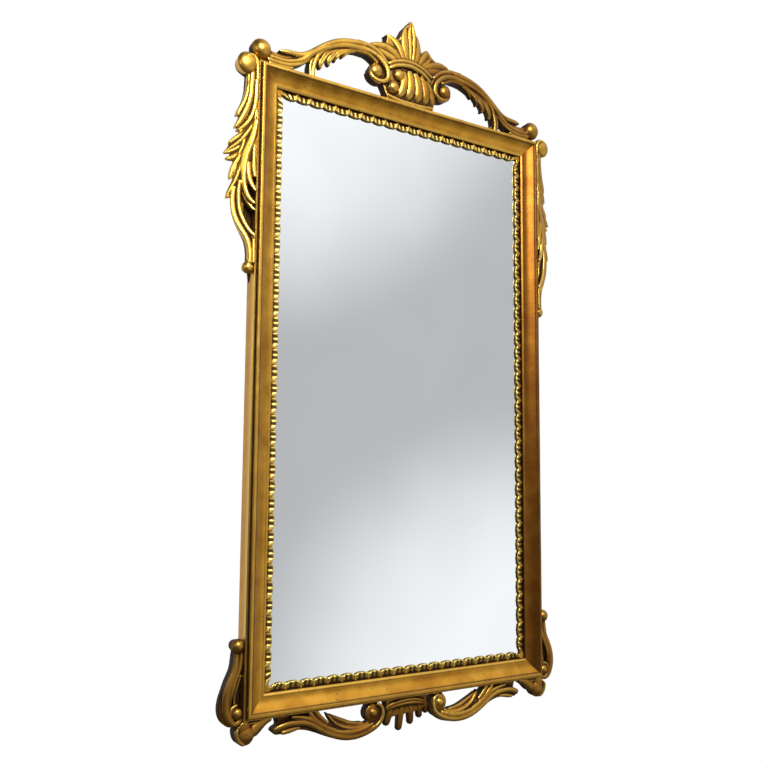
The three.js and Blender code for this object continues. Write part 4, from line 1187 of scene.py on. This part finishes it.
    def lower_scroll(self) -> Carving:
        """The S-scroll: a ball, a reeded neck, a broad swelling body and the volute it ends in."""
        parts = [
            Strand([(305.5, -398, 5, 13), (305.8, -420, 6, 13), (310.5, -440, 8, 12.5),
                    (318.3, -460, 9.5, 12.5),
                    (324.5, -482, 9, 12.5), (322.8, -497, 7, 12), (313.5, -505.5, 5, 12),
                    (303.8, -503, 4, 12),
                    (299.8, -491, 3.4, 12)], crown=0.7, undercut=0.2),
            Strand([(307.5, -402, 3.4, 10), (308.6, -416, 4.2, 9.5), (310.4, -430, 5, 9),
                    (316, -444, 5.8, 8.5),
                    (321.2, -459, 6.4, 8), (323.4, -475, 6.6, 8), (322.4, -489, 6, 8.5),
                    (316.8, -500.5, 5, 9),
                    (308, -506, 4, 9.5), (300.8, -502.5, 3.2, 10), (298.6, -494, 2.6, 11)], crown=0.55),
            Strand([(300.8, -404, 2.8, 10.5), (301, -417, 3.4, 10), (304.4, -431, 3.6, 9.5),
                    (310, -444, 3.6, 9),
                    (314.6, -458, 3.2, 8.5), (317, -472, 2.4, 9.5), (317, -482, 1.6, 11)]),
            Strand([(298.6, -438, 1.8, 15), (302, -448, 2, 15), (306.2, -460, 2, 15),
                    (308.6, -472, 1.8, 15),
                    (309, -481, 1.6, 14)]),
            Strand([(304, -479.5, 1.6, 11), (311, -481, 1.9, 10), (315.8, -487, 2, 9.5),
                    (316, -495, 2, 9.5),
                    (311, -501.5, 1.8, 10)], round_start=True),
            Dome(306.3, -396, 11, 4, crown=1.0, undercut=0.3),
            Dome(305.4, -491.5, 8.4, 5.4, crown=0.8),
            Ground([(295, -400), (305, -415), (314, -455), (322, -485), (313, -503), (295, -503)], 22.0),
        ]
        # Painted shade: a heavy brown wash darkens the lower scroll, which faces down into shade.
        tone_and_shade = ((-300, 0.75), (300, 0.75))
        return Carving("lower_scroll", parts, lambda points: self.past_corner(held_beside(points), 1),
                       tone_and_shade=tone_and_shade)


@dataclass
class Apron:
    """The feet under the bottom corners, the leafy arms and the fan between them."""

    sides: SideCarvings = field(default_factory=SideCarvings)

    def foot(self) -> Carving:
        """The curled leaf under a bottom corner: a broad lobe with a rim, and a blade along the rail."""
        parts = [
            Strand([(297, -502, 10, 10), (295, -514, 12.5, 9), (292, -523, 13, 8.5)], crown=0.45,
                   undercut=0.15),
            Dome(291, -524.5, 14.5, 7.6, crown=0.5, undercut=0.15),
            Strand([(304, -502, 2.6, 8.5), (306.4, -513, 2.8, 8), (305.6, -523.5, 2.8, 8),
                    (301, -532.5, 2.8, 8.5),
                    (292.5, -537, 2.6, 9)]),
            Strand([(248, -505, 4.5, 13), (258, -507.5, 6.5, 12), (267, -512.5, 8, 11),
                    (276, -519, 9, 10.5),
                    (284, -524, 8, 9.5)], crown=0.5, undercut=0.2),
            Ground([(246, -503), (306, -503), (305, -520), (292, -534), (280, -529), (270, -519),
                    (256, -510)],
                   13, smooth=False),
        ]
        fit = lambda points: self.sides.past_corner(held_below(points), -1)
        # Painted shade: a heavy brown wash darkens the foot, which faces down into shade.
        return Carving("corner_foot", parts, fit, tone_and_shade=((-300, 0.7), (300, 0.7)))

    def scroll(self) -> Carving:
        """A leafy arm under the bottom rail, which ends in a volute by the fan."""
        body = [
            Strand([(245, -525, 6, 15), (230, -524, 8, 14), (205, -520, 9.5, 13.5), (180, -524, 10, 13),
                    (155, -533.5, 10.5, 12.5), (130, -542.5, 10.5, 12), (105, -546.4, 10, 11.5),
                    (82, -544.4, 9, 11), (62, -538, 7.4, 11), (52, -526.3, 5, 11), (55, -514.3, 3.8, 12),
                    (64, -508.8, 3.4, 13)], crown=0.4, round_start=True),
            Ground([(162, -503), (240, -503), (236, -518), (176, -522)], 17, smooth=False),
            Ground([(58, -503), (76, -503), (76, -512), (58, -512)], 16, smooth=False),
        ]
        reeds = [
            Strand([(245.5, -526, 4.6, 12.5), (238, -522.4, 4.8, 10), (227, -518.6, 4.6, 8.5),
                    (210, -517.4, 4.2, 8.5),
                    (195, -519.4, 4, 9), (182, -523.5, 4, 9), (170, -530, 4, 8.5), (157, -537.4, 4.2, 8),
                    (143, -544, 4.4, 7.5), (127, -549, 4.6, 7), (108, -551.4, 4.6, 7),
                    (90, -549.8, 4.4, 6.5),
                    (75, -545.8, 4.2, 6.5), (62, -539.8, 3.8, 6), (52.8, -529.5, 3.4, 6),
                    (51.2, -519, 3, 6.5),
                    (55, -510.5, 2.8, 7.5), (63, -506.8, 2.4, 8.5)], round_start=True, crown=0.55),
            Strand([(215, -508.5, 2.2, 12), (203, -510, 3, 11), (190, -513, 3.4, 10.5),
                    (178, -518, 3.6, 10),
                    (167, -524.6, 3.6, 9.5), (155, -531.8, 3.8, 9), (141, -538.6, 4, 8.5),
                    (125, -543.2, 4.2, 8),
                    (107, -545, 4.2, 7.5), (90, -543.4, 3.8, 7), (77, -539.4, 3.2, 7.5),
                    (68, -535.6, 2, 8.5)],
                   crown=0.55),
            Strand([(184, -502, 3.8, 12), (180, -510, 3.8, 11), (172, -518.6, 3.6, 10.5),
                    (162, -526, 3.4, 10),
                    (150, -532.6, 3, 9.5), (136, -537.4, 2.2, 9.5)], crown=0.5),
            Strand([(174, -502, 4, 13), (169, -509.6, 4, 12), (161, -518, 3.6, 11.5), (150, -526, 2.6, 11)],
                   crown=0.5),
            Strand([(231.5, -530, 2.6, 12.5), (222, -528.6, 3.4, 11.5), (211, -526.8, 3.2, 11.5),
                    (199, -525.6, 2.2, 12)], round_start=True),
        ]
        leaves = [
            Strand([(152.5, -510.5, 1, 16), (147.5, -516.5, 3.2, 13.5), (140, -525, 4.8, 11.5),
                    (129, -532.5, 5.6, 10.5), (115, -537.5, 5.8, 9.5), (100, -539.4, 5.2, 9),
                    (86, -538, 4.4, 9),
                    (75, -534.4, 3, 10)], section=Section.LEAF, crown=0.9, back=24),
            Strand([(147, -513.5, 1.4, 16.5), (137, -519.5, 3, 14.5), (124.5, -525.5, 3.8, 13.5),
                    (111, -531, 3.8, 13), (97, -533.6, 3, 12.5), (86, -533.6, 2, 12)], crown=0.8, back=24),
        ]
        eye = [
            Dome(66.5, -521.2, 15.2, 10.5, crown=0.25, undercut=0.05),
            Dome(67, -520.8, 7, 7.5, crown=0.6),
        ]
        # Painted shade: a brown wash by x darkens the apron's arms, the left one most.
        return Carving("apron_scroll", [*body, *reeds, *leaves, *eye], held_below,
                       tone_and_shade=((-60, 0.8), (-40, 0.6), (60, 0.35), (200, 0.55)))

    def fan(self) -> Carving:
        """Five rays like fingers under a curved cap."""
        tips = ((-26, -38, -541, 6.4), (-8, -12.6, -551.6, 5.8), (8.5, 11.2, -544.8, 5.6),
                (24, 30, -537, 5.2),
                (36, 43, -531, 4.4))
        rays = [
            Strand([(root, -511, width + 1, 15), ((root + tip) / 2, (low - 511) / 2, width + 0.6, 14.5),
                    (tip, low - 5.6, width, 17)], crown=0.6, back=26, undercut=0.2)
            for root, tip, low, width in tips
        ]
        cap = [
            Strand([(-42, -520, 4, 15), (-30, -515.5, 5.4, 12.5), (-12, -512, 6.4, 11),
                    (6, -511.4, 6.6, 11),
                    (24, -513.5, 6, 12), (38, -518, 4.4, 14.5)], reeds=2, round_start=True, crown=0.5),
        ]
        root = Ground([(-42, -503), (43, -503), (41, -522), (30, -529), (-32, -533), (-37, -525)], 15.2,
                      smooth=False)
        # Painted shade: a heavy brown wash darkens the fan, which lies low under the rail.
        return Carving("apron_fan", [root, *cap, *rays], held_below, tone_and_shade=((0, 0.8),))


# ---------- Moulding, slip and what lies behind ----------


class Side(Enum):
    """The four sides of the frame: half length, and how (along, inset) becomes (x, z)."""

    TOP = ("top", LIP_HALF_WIDTH, lambda u, w: (u, LIP_HALF_HEIGHT - w))
    BOTTOM = ("bottom", LIP_HALF_WIDTH, lambda u, w: (-u, w - LIP_HALF_HEIGHT))
    LEFT = ("left", LIP_HALF_HEIGHT, lambda u, w: (w - LIP_HALF_WIDTH, u))
    RIGHT = ("right", LIP_HALF_HEIGHT, lambda u, w: (LIP_HALF_WIDTH - w, -u))


def placed_on(side: Side, along: np.ndarray, inset: np.ndarray, depth: np.ndarray) -> np.ndarray:
    """Puts a bar's own coordinates on a side of the frame, as drawing points."""
    x, z = side.value[2](along, inset)
    return np.stack(np.broadcast_arrays(x, depth, z), axis=-1)


@dataclass
class Moulding:
    """The frame's mitred moulding: a back frame, a groove, a rounded lip, a cove and a bead."""

    lip_land: float = 5.0
    lip_round: float = 1.2
    cove_width: float = 22.0
    cove_start: float = 0.6
    cove_depth: float = 11.4
    bead_width: float = 4.7
    bead_rise: float = 0.7
    bead_drop: float = 1.4
    base_front: float = 7.0
    base_chamfer: float = 1.0
    shoulder: float = 16.5
    rebate: float = 26.0
    mitre_gap: float = 0.21
    hand_wave: float = 0.14
    # Brown wash per side, top, bottom, left and right: painted shade, heaviest on the right stile.
    side_tones_and_shade: Sequence[float] = (0.12, 0.30, 0.10, 1.0)
    stations: int = 260

    def profile(self) -> np.ndarray:
        """The section as rows of inset, depth, hollow share and ridge share, which carry painted shade and
        painted highlights.

        The lip turns over in quarter circles, the cove's depth rises as a quarter sine of its width, and
        the bead is a quarter turn with a small swelling.

        Returns:
            The rows, from the wall round the outside to the rebate.
        """
        quarter = np.linspace(0, math.pi / 2, 7)
        r = self.lip_round
        lip = np.stack([r - r * np.cos(quarter), r - r * np.sin(quarter)], axis=1)
        far = np.stack([self.lip_land - 0.5 + 0.5 * np.sin(quarter), 0.5 - 0.5 * np.cos(quarter)], axis=1)
        t = np.linspace(0, 1, 22)[1:]
        cove_depth = self.cove_start + (self.cove_depth - self.cove_start) * np.sin(t * math.pi / 2)
        cove = np.stack([self.lip_land + self.cove_width * t, cove_depth], axis=1)
        angle = np.linspace(0, math.pi / 2, 12)[1:]
        start = self.lip_land + self.cove_width
        swell = self.bead_rise * np.sin(2 * angle)
        bead_depth = self.cove_depth - swell + self.bead_drop * (1 - np.cos(angle))
        bead = np.stack([start + self.bead_width * (1 - np.cos(angle)), bead_depth], axis=1)
        edge = start + self.bead_width
        outside = [[-BASE_REVEAL, FRAME_DEPTH], [-BASE_REVEAL, 20.0],
                   [-BASE_REVEAL, self.base_front + self.base_chamfer],
                   [-BASE_REVEAL + self.base_chamfer, self.base_front], [-0.8, self.base_front],
                   [0.4, self.base_front], [0.0, self.base_front - 1.5], [0.0, r + 1.5]]
        inside = [[edge, self.shoulder - 1.2], [edge, self.shoulder], [self.rebate, self.shoulder],
                  [self.rebate, FRAME_DEPTH]]
        rows = np.concatenate([outside, lip, far, cove, bead, inside])
        w, depth = rows.T
        # Painted shade: dark lines in the groove behind the lip, beside the bead and where the lip meets the
        # cove, and a dark inner step down to the slip.
        in_groove = smooth_step(depth, 1.0, 6.0) * (w < 0.9) * (w > -1.5)
        by_bead = 0.22 * np.exp(-(((w - start) / 1.0) ** 2)) * (w > 20)
        cove_shade = 0.62 * np.exp(-(((w - 6.6) / 1.1) ** 2)) * (depth > 0.5)
        hollow = in_groove * 0.8 + by_bead + cove_shade + (w > edge - 0.4) * smooth_step(depth, 13.4, 15.5)
        # Painted highlights: a light band on the lip, a line beside the bead and a line on the back frame's
        # front edge.
        on_lip = 0.22 * np.exp(-(((w - 2.5) / 2.6) ** 2)) * (depth < 2)
        ridge = on_lip + 0.35 * np.exp(-(((w - start - 2.6) / 1.6) ** 2))
        ridge += 0.7 * np.exp(-(((w + BASE_REVEAL) / 1.0) ** 2) - ((depth - 7.5) / 1.0) ** 2)
        return np.column_stack([w, depth, np.clip(hollow, 0, 1), np.clip(ridge, 0, 1)])

    def place(self, finishes: Finishes) -> None:
        """Carries the section along the four sides, each a little uneven as handwork is."""
        names = {Side.TOP: "top_rail", Side.BOTTOM: "bottom_rail", Side.LEFT: "left_stile",
                 Side.RIGHT: "right_stile"}
        rows = self.profile()
        w, depth, hollow, ridge = rows.T
        for number, (side, name) in enumerate(names.items()):
            reach = side.value[1] - w - self.mitre_gap
            t = np.linspace(-1, 1, self.stations)[:, None]
            along = t * reach[None]
            wave = np.sin(along / 41.0 + number) + np.sin(along / 17.0 + 2.1 * number + w[None] * 0.2)
            front = (depth < 16) * (1 - t**8)
            deep = depth[None] + self.hand_wave * wave * front * 0.5 + self.hand_wave * front
            points = to_scene(placed_on(side, along, np.broadcast_to(w, along.shape), deep))
            low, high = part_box(name)
            points = np.clip(points.reshape(-1, 3), np.array(low), np.array(high))
            quads = grid_faces(self.stations, len(w), wrap=True).tolist()
            last = (self.stations - 1) * len(w)
            caps = [list(range(len(w))), [last + k for k in range(len(w))][::-1]]
            mesh = bpy.data.meshes.new(name)
            mesh.from_pydata(points, [], quads + caps)
            mesh.materials.append(finishes.gilding)
            mesh.materials.append(finishes.pine)
            bare = np.tile(np.append(w[:-1] > 20, True) & np.append(depth[:-1] > 16.4, True),
                           self.stations - 1)
            index = np.concatenate([bare.astype(np.int32), [1, 1]])
            mesh.polygons.foreach_set("material_index", index)
            self.finish_mesh(mesh, hollow, ridge, self.side_tones_and_shade[number])
            piece = new_piece("gilt_" + name, mesh)
            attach(piece, "frame")
            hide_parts(name)
            LOG.info("%s: %d faces", piece.name, len(mesh.polygons))

    def finish_mesh(self, mesh: bpy.types.Mesh, hollow: np.ndarray, ridge: np.ndarray, tone_and_shade: float) -> None:
        """Turns the faces out, smooths them up to their real edges and keeps the shares of painted shade,
        painted highlight and tone.
        """
        face_out(mesh)
        mesh.shade_smooth()
        mesh.set_sharp_from_angle(angle=math.radians(32))
        store(mesh, "hollow", np.tile(hollow, self.stations))
        store(mesh, "ridge", np.tile(ridge, self.stations))
        store(mesh, "tone", np.full(len(mesh.vertices), tone_and_shade))


def face_out(mesh: bpy.types.Mesh) -> None:
    """Flips a closed mesh whose signed volume says that its faces point in."""
    count = len(mesh.loops)
    loops = np.empty(count, dtype=int)
    mesh.loops.foreach_get("vertex_index", loops)
    points = np.empty(len(mesh.vertices) * 3)
    mesh.vertices.foreach_get("co", points)
    points = points.reshape(-1, 3)
    mesh.calc_loop_triangles()
    triangles = np.empty(len(mesh.loop_triangles) * 3, dtype=int)
    mesh.loop_triangles.foreach_get("vertices", triangles)
    a, b, c = points[triangles.reshape(-1, 3)].transpose(1, 0, 2)
    if np.einsum("ij,ij->i", a, np.cross(b, c)).sum() < 0:
        mesh.flip_normals()


@dataclass
class SightSlip:
    """The carved slip at the sight edge: rounded tabs, each scooped out with fine ribs left in it."""

    flange_outer: float = 26.6
    front: float = 16.8
    back: float = 19.2
    crest_depth: float = 14.4
    root: float = 31.9
    sight: float = 44.3
    notch: float = 4.2
    pitch: float = 25.4
    scoop: float = 3.0
    rib: float = 1.7
    mitre_gap: float = 0.21
    step: float = 0.75
    uneven: float = 0.05
    spaced_at: float = 38.0  # inset at which the columns are spaced evenly
    rows: int = 22  # points from a tab's root to its edge

    def place(self, finishes: Finishes) -> None:
        """Carves the four lengths."""
        for number, side in enumerate(Side):
            name = "sight_slip_" + side.value[0]
            mesh = self.carved(side, number)
            mesh.materials.append(finishes.gilding)
            piece = new_piece("carved_" + name, mesh)
            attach(piece, "frame")
            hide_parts(name)
            LOG.info("%s: %d faces", piece.name, len(mesh.polygons))

    def carved(self, side: Side, number: int) -> bpy.types.Mesh:
        """The surface of one length, as a height over (along, inset), closed round its flat back.

        A tab's phase runs from -1 to 1. Its edge stands back from the sight line by
        notch * (1 - sqrt(1 - phase^2)). The scoop is deepest at the root under the bead. It rises to the
        tab's tip and fades out at the notches, each in a smooth step. Three fine ribs stand in it, each a
        raised cosine to the power 1.3.

        Args:
            side: which side of the frame.
            number: seeds how unevenly the tabs are set out.

        Returns:
            The mesh in scene metres.
        """
        half = side.value[1]
        sight_half = half - self.sight
        count = round(2 * sight_half / self.pitch)
        rng = np.random.default_rng(40 + number)
        stops = np.linspace(-sight_half, sight_half, count + 1)
        stops[1:-1] += rng.uniform(-self.uneven, self.uneven, count - 1) * self.pitch
        stations = int(2 * half / self.step)
        t = np.linspace(-1, 1, stations)
        place = t * (half - self.spaced_at - self.mitre_gap)
        phase = self.phase(place, stops)[:, None]
        edge = self.sight - self.notch * (1 - np.sqrt(np.clip(1 - phase**2, 0, 1)))
        share = np.linspace(0, 1, self.rows)[None]
        w = np.concatenate([np.full_like(phase, self.flange_outer), self.root + share * (edge - self.root)],
                           axis=1)
        along = self.mitred(place[:, None], w, half)
        reach = np.concatenate([np.zeros(1), np.linspace(0, 1, self.rows)])[None]
        bowl = (1 - 0.75 * smooth_step(reach, 0.2, 0.9)) * smooth_step(1 - np.abs(phase), 0.05, 0.35)
        between = (0.5 + 0.5 * np.cos(phase * 3.0 * math.pi)) ** 1.3
        ribs = self.rib * between * smooth_step(1 - np.abs(phase), 0.1, 0.35) * smooth_step(reach, 0.05,
                                                                                            0.25)
        lip = 1.3 * smooth_step(reach, 0.86, 1.0) ** 2 + 0.5 * smooth_step(np.abs(phase), 0.8, 1.0)
        depth = self.crest_depth + 0.35 + self.scoop * bowl + lip - ribs * (0.25 + 0.75 * bowl)
        depth = depth + 0.35 * smooth_step(0.1 - reach, 0.0, 0.1)
        depth[:, 0] = self.front
        depth = np.clip(depth, self.crest_depth, self.back - 0.5)
        top = placed_on(side, along, w, depth)
        back_w = np.stack([w[:, -1], w[:, 0]], axis=1)
        back_along = self.mitred(place[:, None], back_w, half)
        bottom = placed_on(side, back_along, back_w, np.full_like(back_w, self.back))
        ring = np.concatenate([top, bottom], axis=1)
        columns = ring.shape[1]
        quads = grid_faces(stations, columns, wrap=True).tolist()
        last = (stations - 1) * columns
        caps = [list(range(columns)), [last + k for k in range(columns)][::-1]]
        mesh = bpy.data.meshes.new("slip_" + side.value[0])
        points = to_scene(ring).reshape(-1, 3)
        low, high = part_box("sight_slip_" + side.value[0])
        mesh.from_pydata(np.clip(points, np.array(low), np.array(high)), [], quads + caps)
        face_out(mesh)
        mesh.shade_smooth()
        mesh.set_sharp_from_angle(angle=math.radians(50))
        # Painted shade in the valleys between the ribs, at the tab's root under the bead and in the bowl
        # near it; the flat back and sides are painted dark too.
        valley = (1 - between) * smooth_step(1 - np.abs(phase), 0.04, 0.16)
        groove = 0.6 * valley * (1 - smooth_step(reach, 0.86, 1.0))
        groove = groove + 0.9 * (reach < 0.06) + 0.4 * bowl * (reach < 0.3)
        # Painted highlight on the rib tops and the tab's tip rim.
        crest = between * smooth_step(reach, 0.2, 0.5) + 0.6 * smooth_step(reach, 0.8, 0.92)
        groove, crest = np.broadcast_arrays(np.clip(groove, 0, 1), np.clip(crest, 0, 1))
        pad = np.zeros((stations, 2))
        store(mesh, "hollow", np.concatenate([groove, pad + 0.9], axis=1).ravel())
        store(mesh, "ridge", np.concatenate([crest, pad], axis=1).ravel())
        store(mesh, "tone", np.full(len(mesh.vertices), 0.1))
        return mesh

    def mitred(self, place: np.ndarray, w: np.ndarray, half: float) -> np.ndarray:
        """Keeps the columns square to the edge, and leans only those near a corner on to its mitre."""
        middle_end = half - self.spaced_at - self.mitre_gap
        end = half - w - self.mitre_gap
        near = smooth_step(np.abs(place), middle_end - 34.0, middle_end)
        return place + np.sign(place) * (end - middle_end) * near

    @staticmethod
    def phase(along: np.ndarray, stops: np.ndarray) -> np.ndarray:
        """Where a place lies in its shell, from -1 at one notch to 1 at the next."""
        i = np.clip(np.searchsorted(stops, along, side="right") - 1, 0, len(stops) - 2)
        return np.clip((along - stops[i]) / (stops[i + 1] - stops[i]), 0, 1) * 2 - 1


@dataclass
class Hardware:
    """The glass, the board behind it, the joinery and the fittings, whose solids are right as they are."""

    def place(self, frame: dict, finishes: Finishes) -> None:
        """Gives each of these nodes its finish.

        Args:
            finishes: the mirror's finishes.
        """
        starts = {
            "mirror_glass": finishes.glass,
            "backboard": finishes.pine,
            "corner_spline": finishes.pine,
            "hanger": finishes.steel,
            "strap_screw": finishes.steel,
            "button_screw": finishes.steel,
            "turn_button": finishes.brass,
        }
        for name, node in frame["nodes"].items():
            for start, material in starts.items():
                if name.startswith(start):
                    node.material_slots[0].material = material
            if "dowel" in name:
                node.material_slots[0].material = finishes.pine


# ---------- Studio ----------


@dataclass
class Studio:
    """A pale floor and world, soft lamps, and the camera where the photograph was taken."""

    focal_px: float = 911.57
    frame_px: float = 768.0
    sensor_mm: float = 36.0
    eye: tuple[float, float, float] = (-0.9046, -1.2670, -0.6498)
    forward: tuple[float, float, float] = (0.56106, 0.82032, 0.11086)
    right: tuple[float, float, float] = (0.82488, -0.56525, 0.00798)
    floor_height: float = -1.9
    floor_reach: float = 2.3
    floor_level: float = 0.14
    plain_level: float = 0.5
    room: float = 0.10
    patches: Sequence[tuple[tuple[float, float, float], tuple[float, float], float]] = (
        ((0.56, 0.82, 0.11), (0.25, 0.6), 0.70),
        ((-0.75, 0.65, 0.10), (0.45, 0.90), 0.40),
        ((0.58, -0.79, 0.10), (0.50, 0.90), 0.56),
        ((0.68, -0.72, -0.22), (0.950, 0.999), 0.60),
        ((0.40, -0.80, 0.45), (0.950, 0.999), 0.62),
        ((0.50, -0.50, 0.70), (0.915, 0.985), 0.60),
        ((0.45, -0.25, 0.85), (0.72, 0.95), 0.50),
    )

    def set_camera(self) -> None:
        """Places the camera by its own right, up and backward directions."""
        data = bpy.data.cameras.new("camera")
        data.sensor_width = self.sensor_mm
        data.lens = self.focal_px / self.frame_px * self.sensor_mm
        data.clip_end = 50
        camera = new_piece_of(data, "camera")
        forward = np.array(self.forward) / np.linalg.norm(self.forward)
        right = np.array(self.right) - forward * (forward @ self.right)
        right /= np.linalg.norm(right)
        up = np.cross(right, forward)
        pose = np.eye(4)
        pose[:3, 0] = right
        pose[:3, 1] = up
        pose[:3, 2] = -forward
        pose[:3, 3] = self.eye
        camera.matrix_world = Matrix(pose.tolist())
        bpy.context.scene.camera = camera

    def lobe(self, tree: bpy.types.NodeTree, way: object, aim: tuple[float, float, float],
             cosines: tuple[float, float], level: float):
        """A soft bright patch of the room round a direction.

        Args:
            tree: the world's node tree.
            way: the socket of the direction looked in.
            aim: the patch's middle.
            cosines: the cosines from aim at which it starts and is whole.
            level: its strength.

        Returns:
            The patch's strength in each direction.
        """
        length = math.sqrt(sum(a * a for a in aim))
        wires = {0: way, 1: tuple(a / length for a in aim)}
        near = add(tree, "VectorMath", wires, operation="DOT_PRODUCT").outputs["Value"]
        wires = {0: near, 1: cosines[0], 2: cosines[1], 3: 0.0, 4: level}
        return add(tree, "MapRange", wires, interpolation_type="SMOOTHSTEP").outputs[0]

    def set_world(self) -> None:
        """A dim room with soft bright patches: white behind the mirror, pale walls and a pale ceiling.

        What the camera sees behind the object is white, and so is what the gilding and the glass mirror
        from behind it.
        """
        world = bpy.data.worlds.new("studio")
        bpy.context.scene.world = world
        world.use_nodes = True
        tree = world.node_tree
        tree.nodes.clear()
        way = add(tree, "TexCoord").outputs["Generated"]
        level = self.room
        for aim, cosines, strength in self.patches:
            patch = self.lobe(tree, way, aim, cosines, strength)
            level = add(tree, "Math", {0: level, 1: patch}, operation="ADD").outputs[0]
        room = add(tree, "Background", {0: (1.0, 0.99, 0.98, 1.0), 1: level})
        plain = add(tree, "Background", {0: (1.0, 0.985, 0.96, 1.0), 1: self.plain_level})
        self.seen_by(tree, room.outputs[0], plain.outputs[0], "Background", "OutputWorld")

    def seen_by(self, tree: bpy.types.NodeTree, mirrored: object, plain: object, glow: str,
                output: str) -> None:
        """Ends a node tree so that the camera sees white, mirrors see one shader and diffuse light another.

        Args:
            tree: the world's or the floor's node tree.
            mirrored: the shader for glossy and transmitted rays.
            plain: the shader for the other rays.
            glow: the kind of node that is white to the camera.
            output: the kind of node that ends the tree.
        """
        path = add(tree, "LightPath").outputs
        wires = {0: path["Is Glossy Ray"], 1: path["Is Transmission Ray"]}
        mirror_ray = add(tree, "Math", wires, operation="MAXIMUM").outputs[0]
        indirect = add(tree, "MixShader", {0: mirror_ray, 1: plain, 2: mirrored})
        white = add(tree, glow, {0: (1, 1, 1, 1), 1: 1.0})
        seen = add(tree, "MixShader", {0: path["Is Camera Ray"], 1: indirect.outputs[0],
                                       2: white.outputs[0]})
        add(tree, output, {0: seen.outputs[0]})

    def set_floor(self) -> None:
        """A pale floor below the hanging mirror, white to the camera."""
        mesh = bpy.data.meshes.new("floor")
        reach = self.floor_reach
        corners = [(-reach, -reach), (reach, -reach), (reach, reach), (-reach, reach)]
        mesh.from_pydata([(x, y, self.floor_height) for x, y in corners], [], [(0, 1, 2, 3)])
        floor = new_piece("floor", mesh)
        material = bpy.data.materials.new("pale_floor")
        material.use_nodes = True
        tree = material.node_tree
        shader = tree.nodes["Principled BSDF"]
        shader.inputs["Base Color"].default_value = linear("9A968E")
        shader.inputs["Roughness"].default_value = 0.9
        tree.nodes.remove(tree.nodes["Material Output"])
        mirrored = add(tree, "Emission", {0: (1.0, 0.96, 0.9, 1.0), 1: self.floor_level})
        self.seen_by(tree, mirrored.outputs[0], shader.outputs[0], "Emission", "OutputMaterial")
        mesh.materials.append(material)

    def set_lamps(self) -> None:
        """A broad lamp in front and above, and a weaker one from the left."""
        self.lamp("key_lamp", (-0.5, -1.95, 0.82), 0.65, 62.0)
        self.lamp("side_lamp", (-2.2, -1.3, 0.1), 0.8, 6.0)

    def lamp(self, name: str, place: tuple[float, float, float], size: float, power: float) -> None:
        """A square soft lamp that faces the mirror's middle.

        Args:
            name: the lamp's name.
            place: where it stands, in metres.
            size: length of its side.
            power: watts.
        """
        data = bpy.data.lights.new(name, "AREA")
        data.shape = "SQUARE"
        data.size = size
        data.energy = power
        lamp = new_piece_of(data, name)
        back = np.array(place) - np.array([0.0, 0.0, -0.45])
        back /= np.linalg.norm(back)
        right = np.cross([0.0, 0.0, 1.0], back)
        right /= np.linalg.norm(right)
        pose = np.eye(4)
        pose[:3, :3] = np.stack([right, np.cross(back, right), back], axis=1)
        pose[:3, 3] = place
        lamp.matrix_world = Matrix(pose.tolist())

    def place(self) -> None:
        """Sets up the whole studio."""
        scene = bpy.context.scene
        scene.view_settings.view_transform = "Standard"
        self.set_camera()
        self.set_world()
        self.set_floor()
        self.set_lamps()


def new_piece_of(data: bpy.types.ID, name: str) -> bpy.types.Object:
    """Puts a camera or lamp into the scene."""
    made = bpy.data.objects.new(name, data)
    bpy.context.scene.collection.objects.link(made)
    return made


def main() -> None:
    """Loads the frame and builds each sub-assembly."""
    logging.basicConfig(level=logging.INFO, format="%(name)s %(message)s")
    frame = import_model()
    Studio().place()
    finishes = Finishes()
    Moulding().place(finishes)
    SightSlip().place(finishes)
    Crest().place(finishes)
    sides = SideCarvings()
    sides.drop().place_pair(finishes)
    sides.lower_scroll().place_pair(finishes)
    apron = Apron()
    apron.foot().place_pair(finishes)
    apron.scroll().place_pair(finishes)
    apron.fan().place(finishes)
    Hardware().place(frame, finishes)


if __name__ == "__main__":
    main()
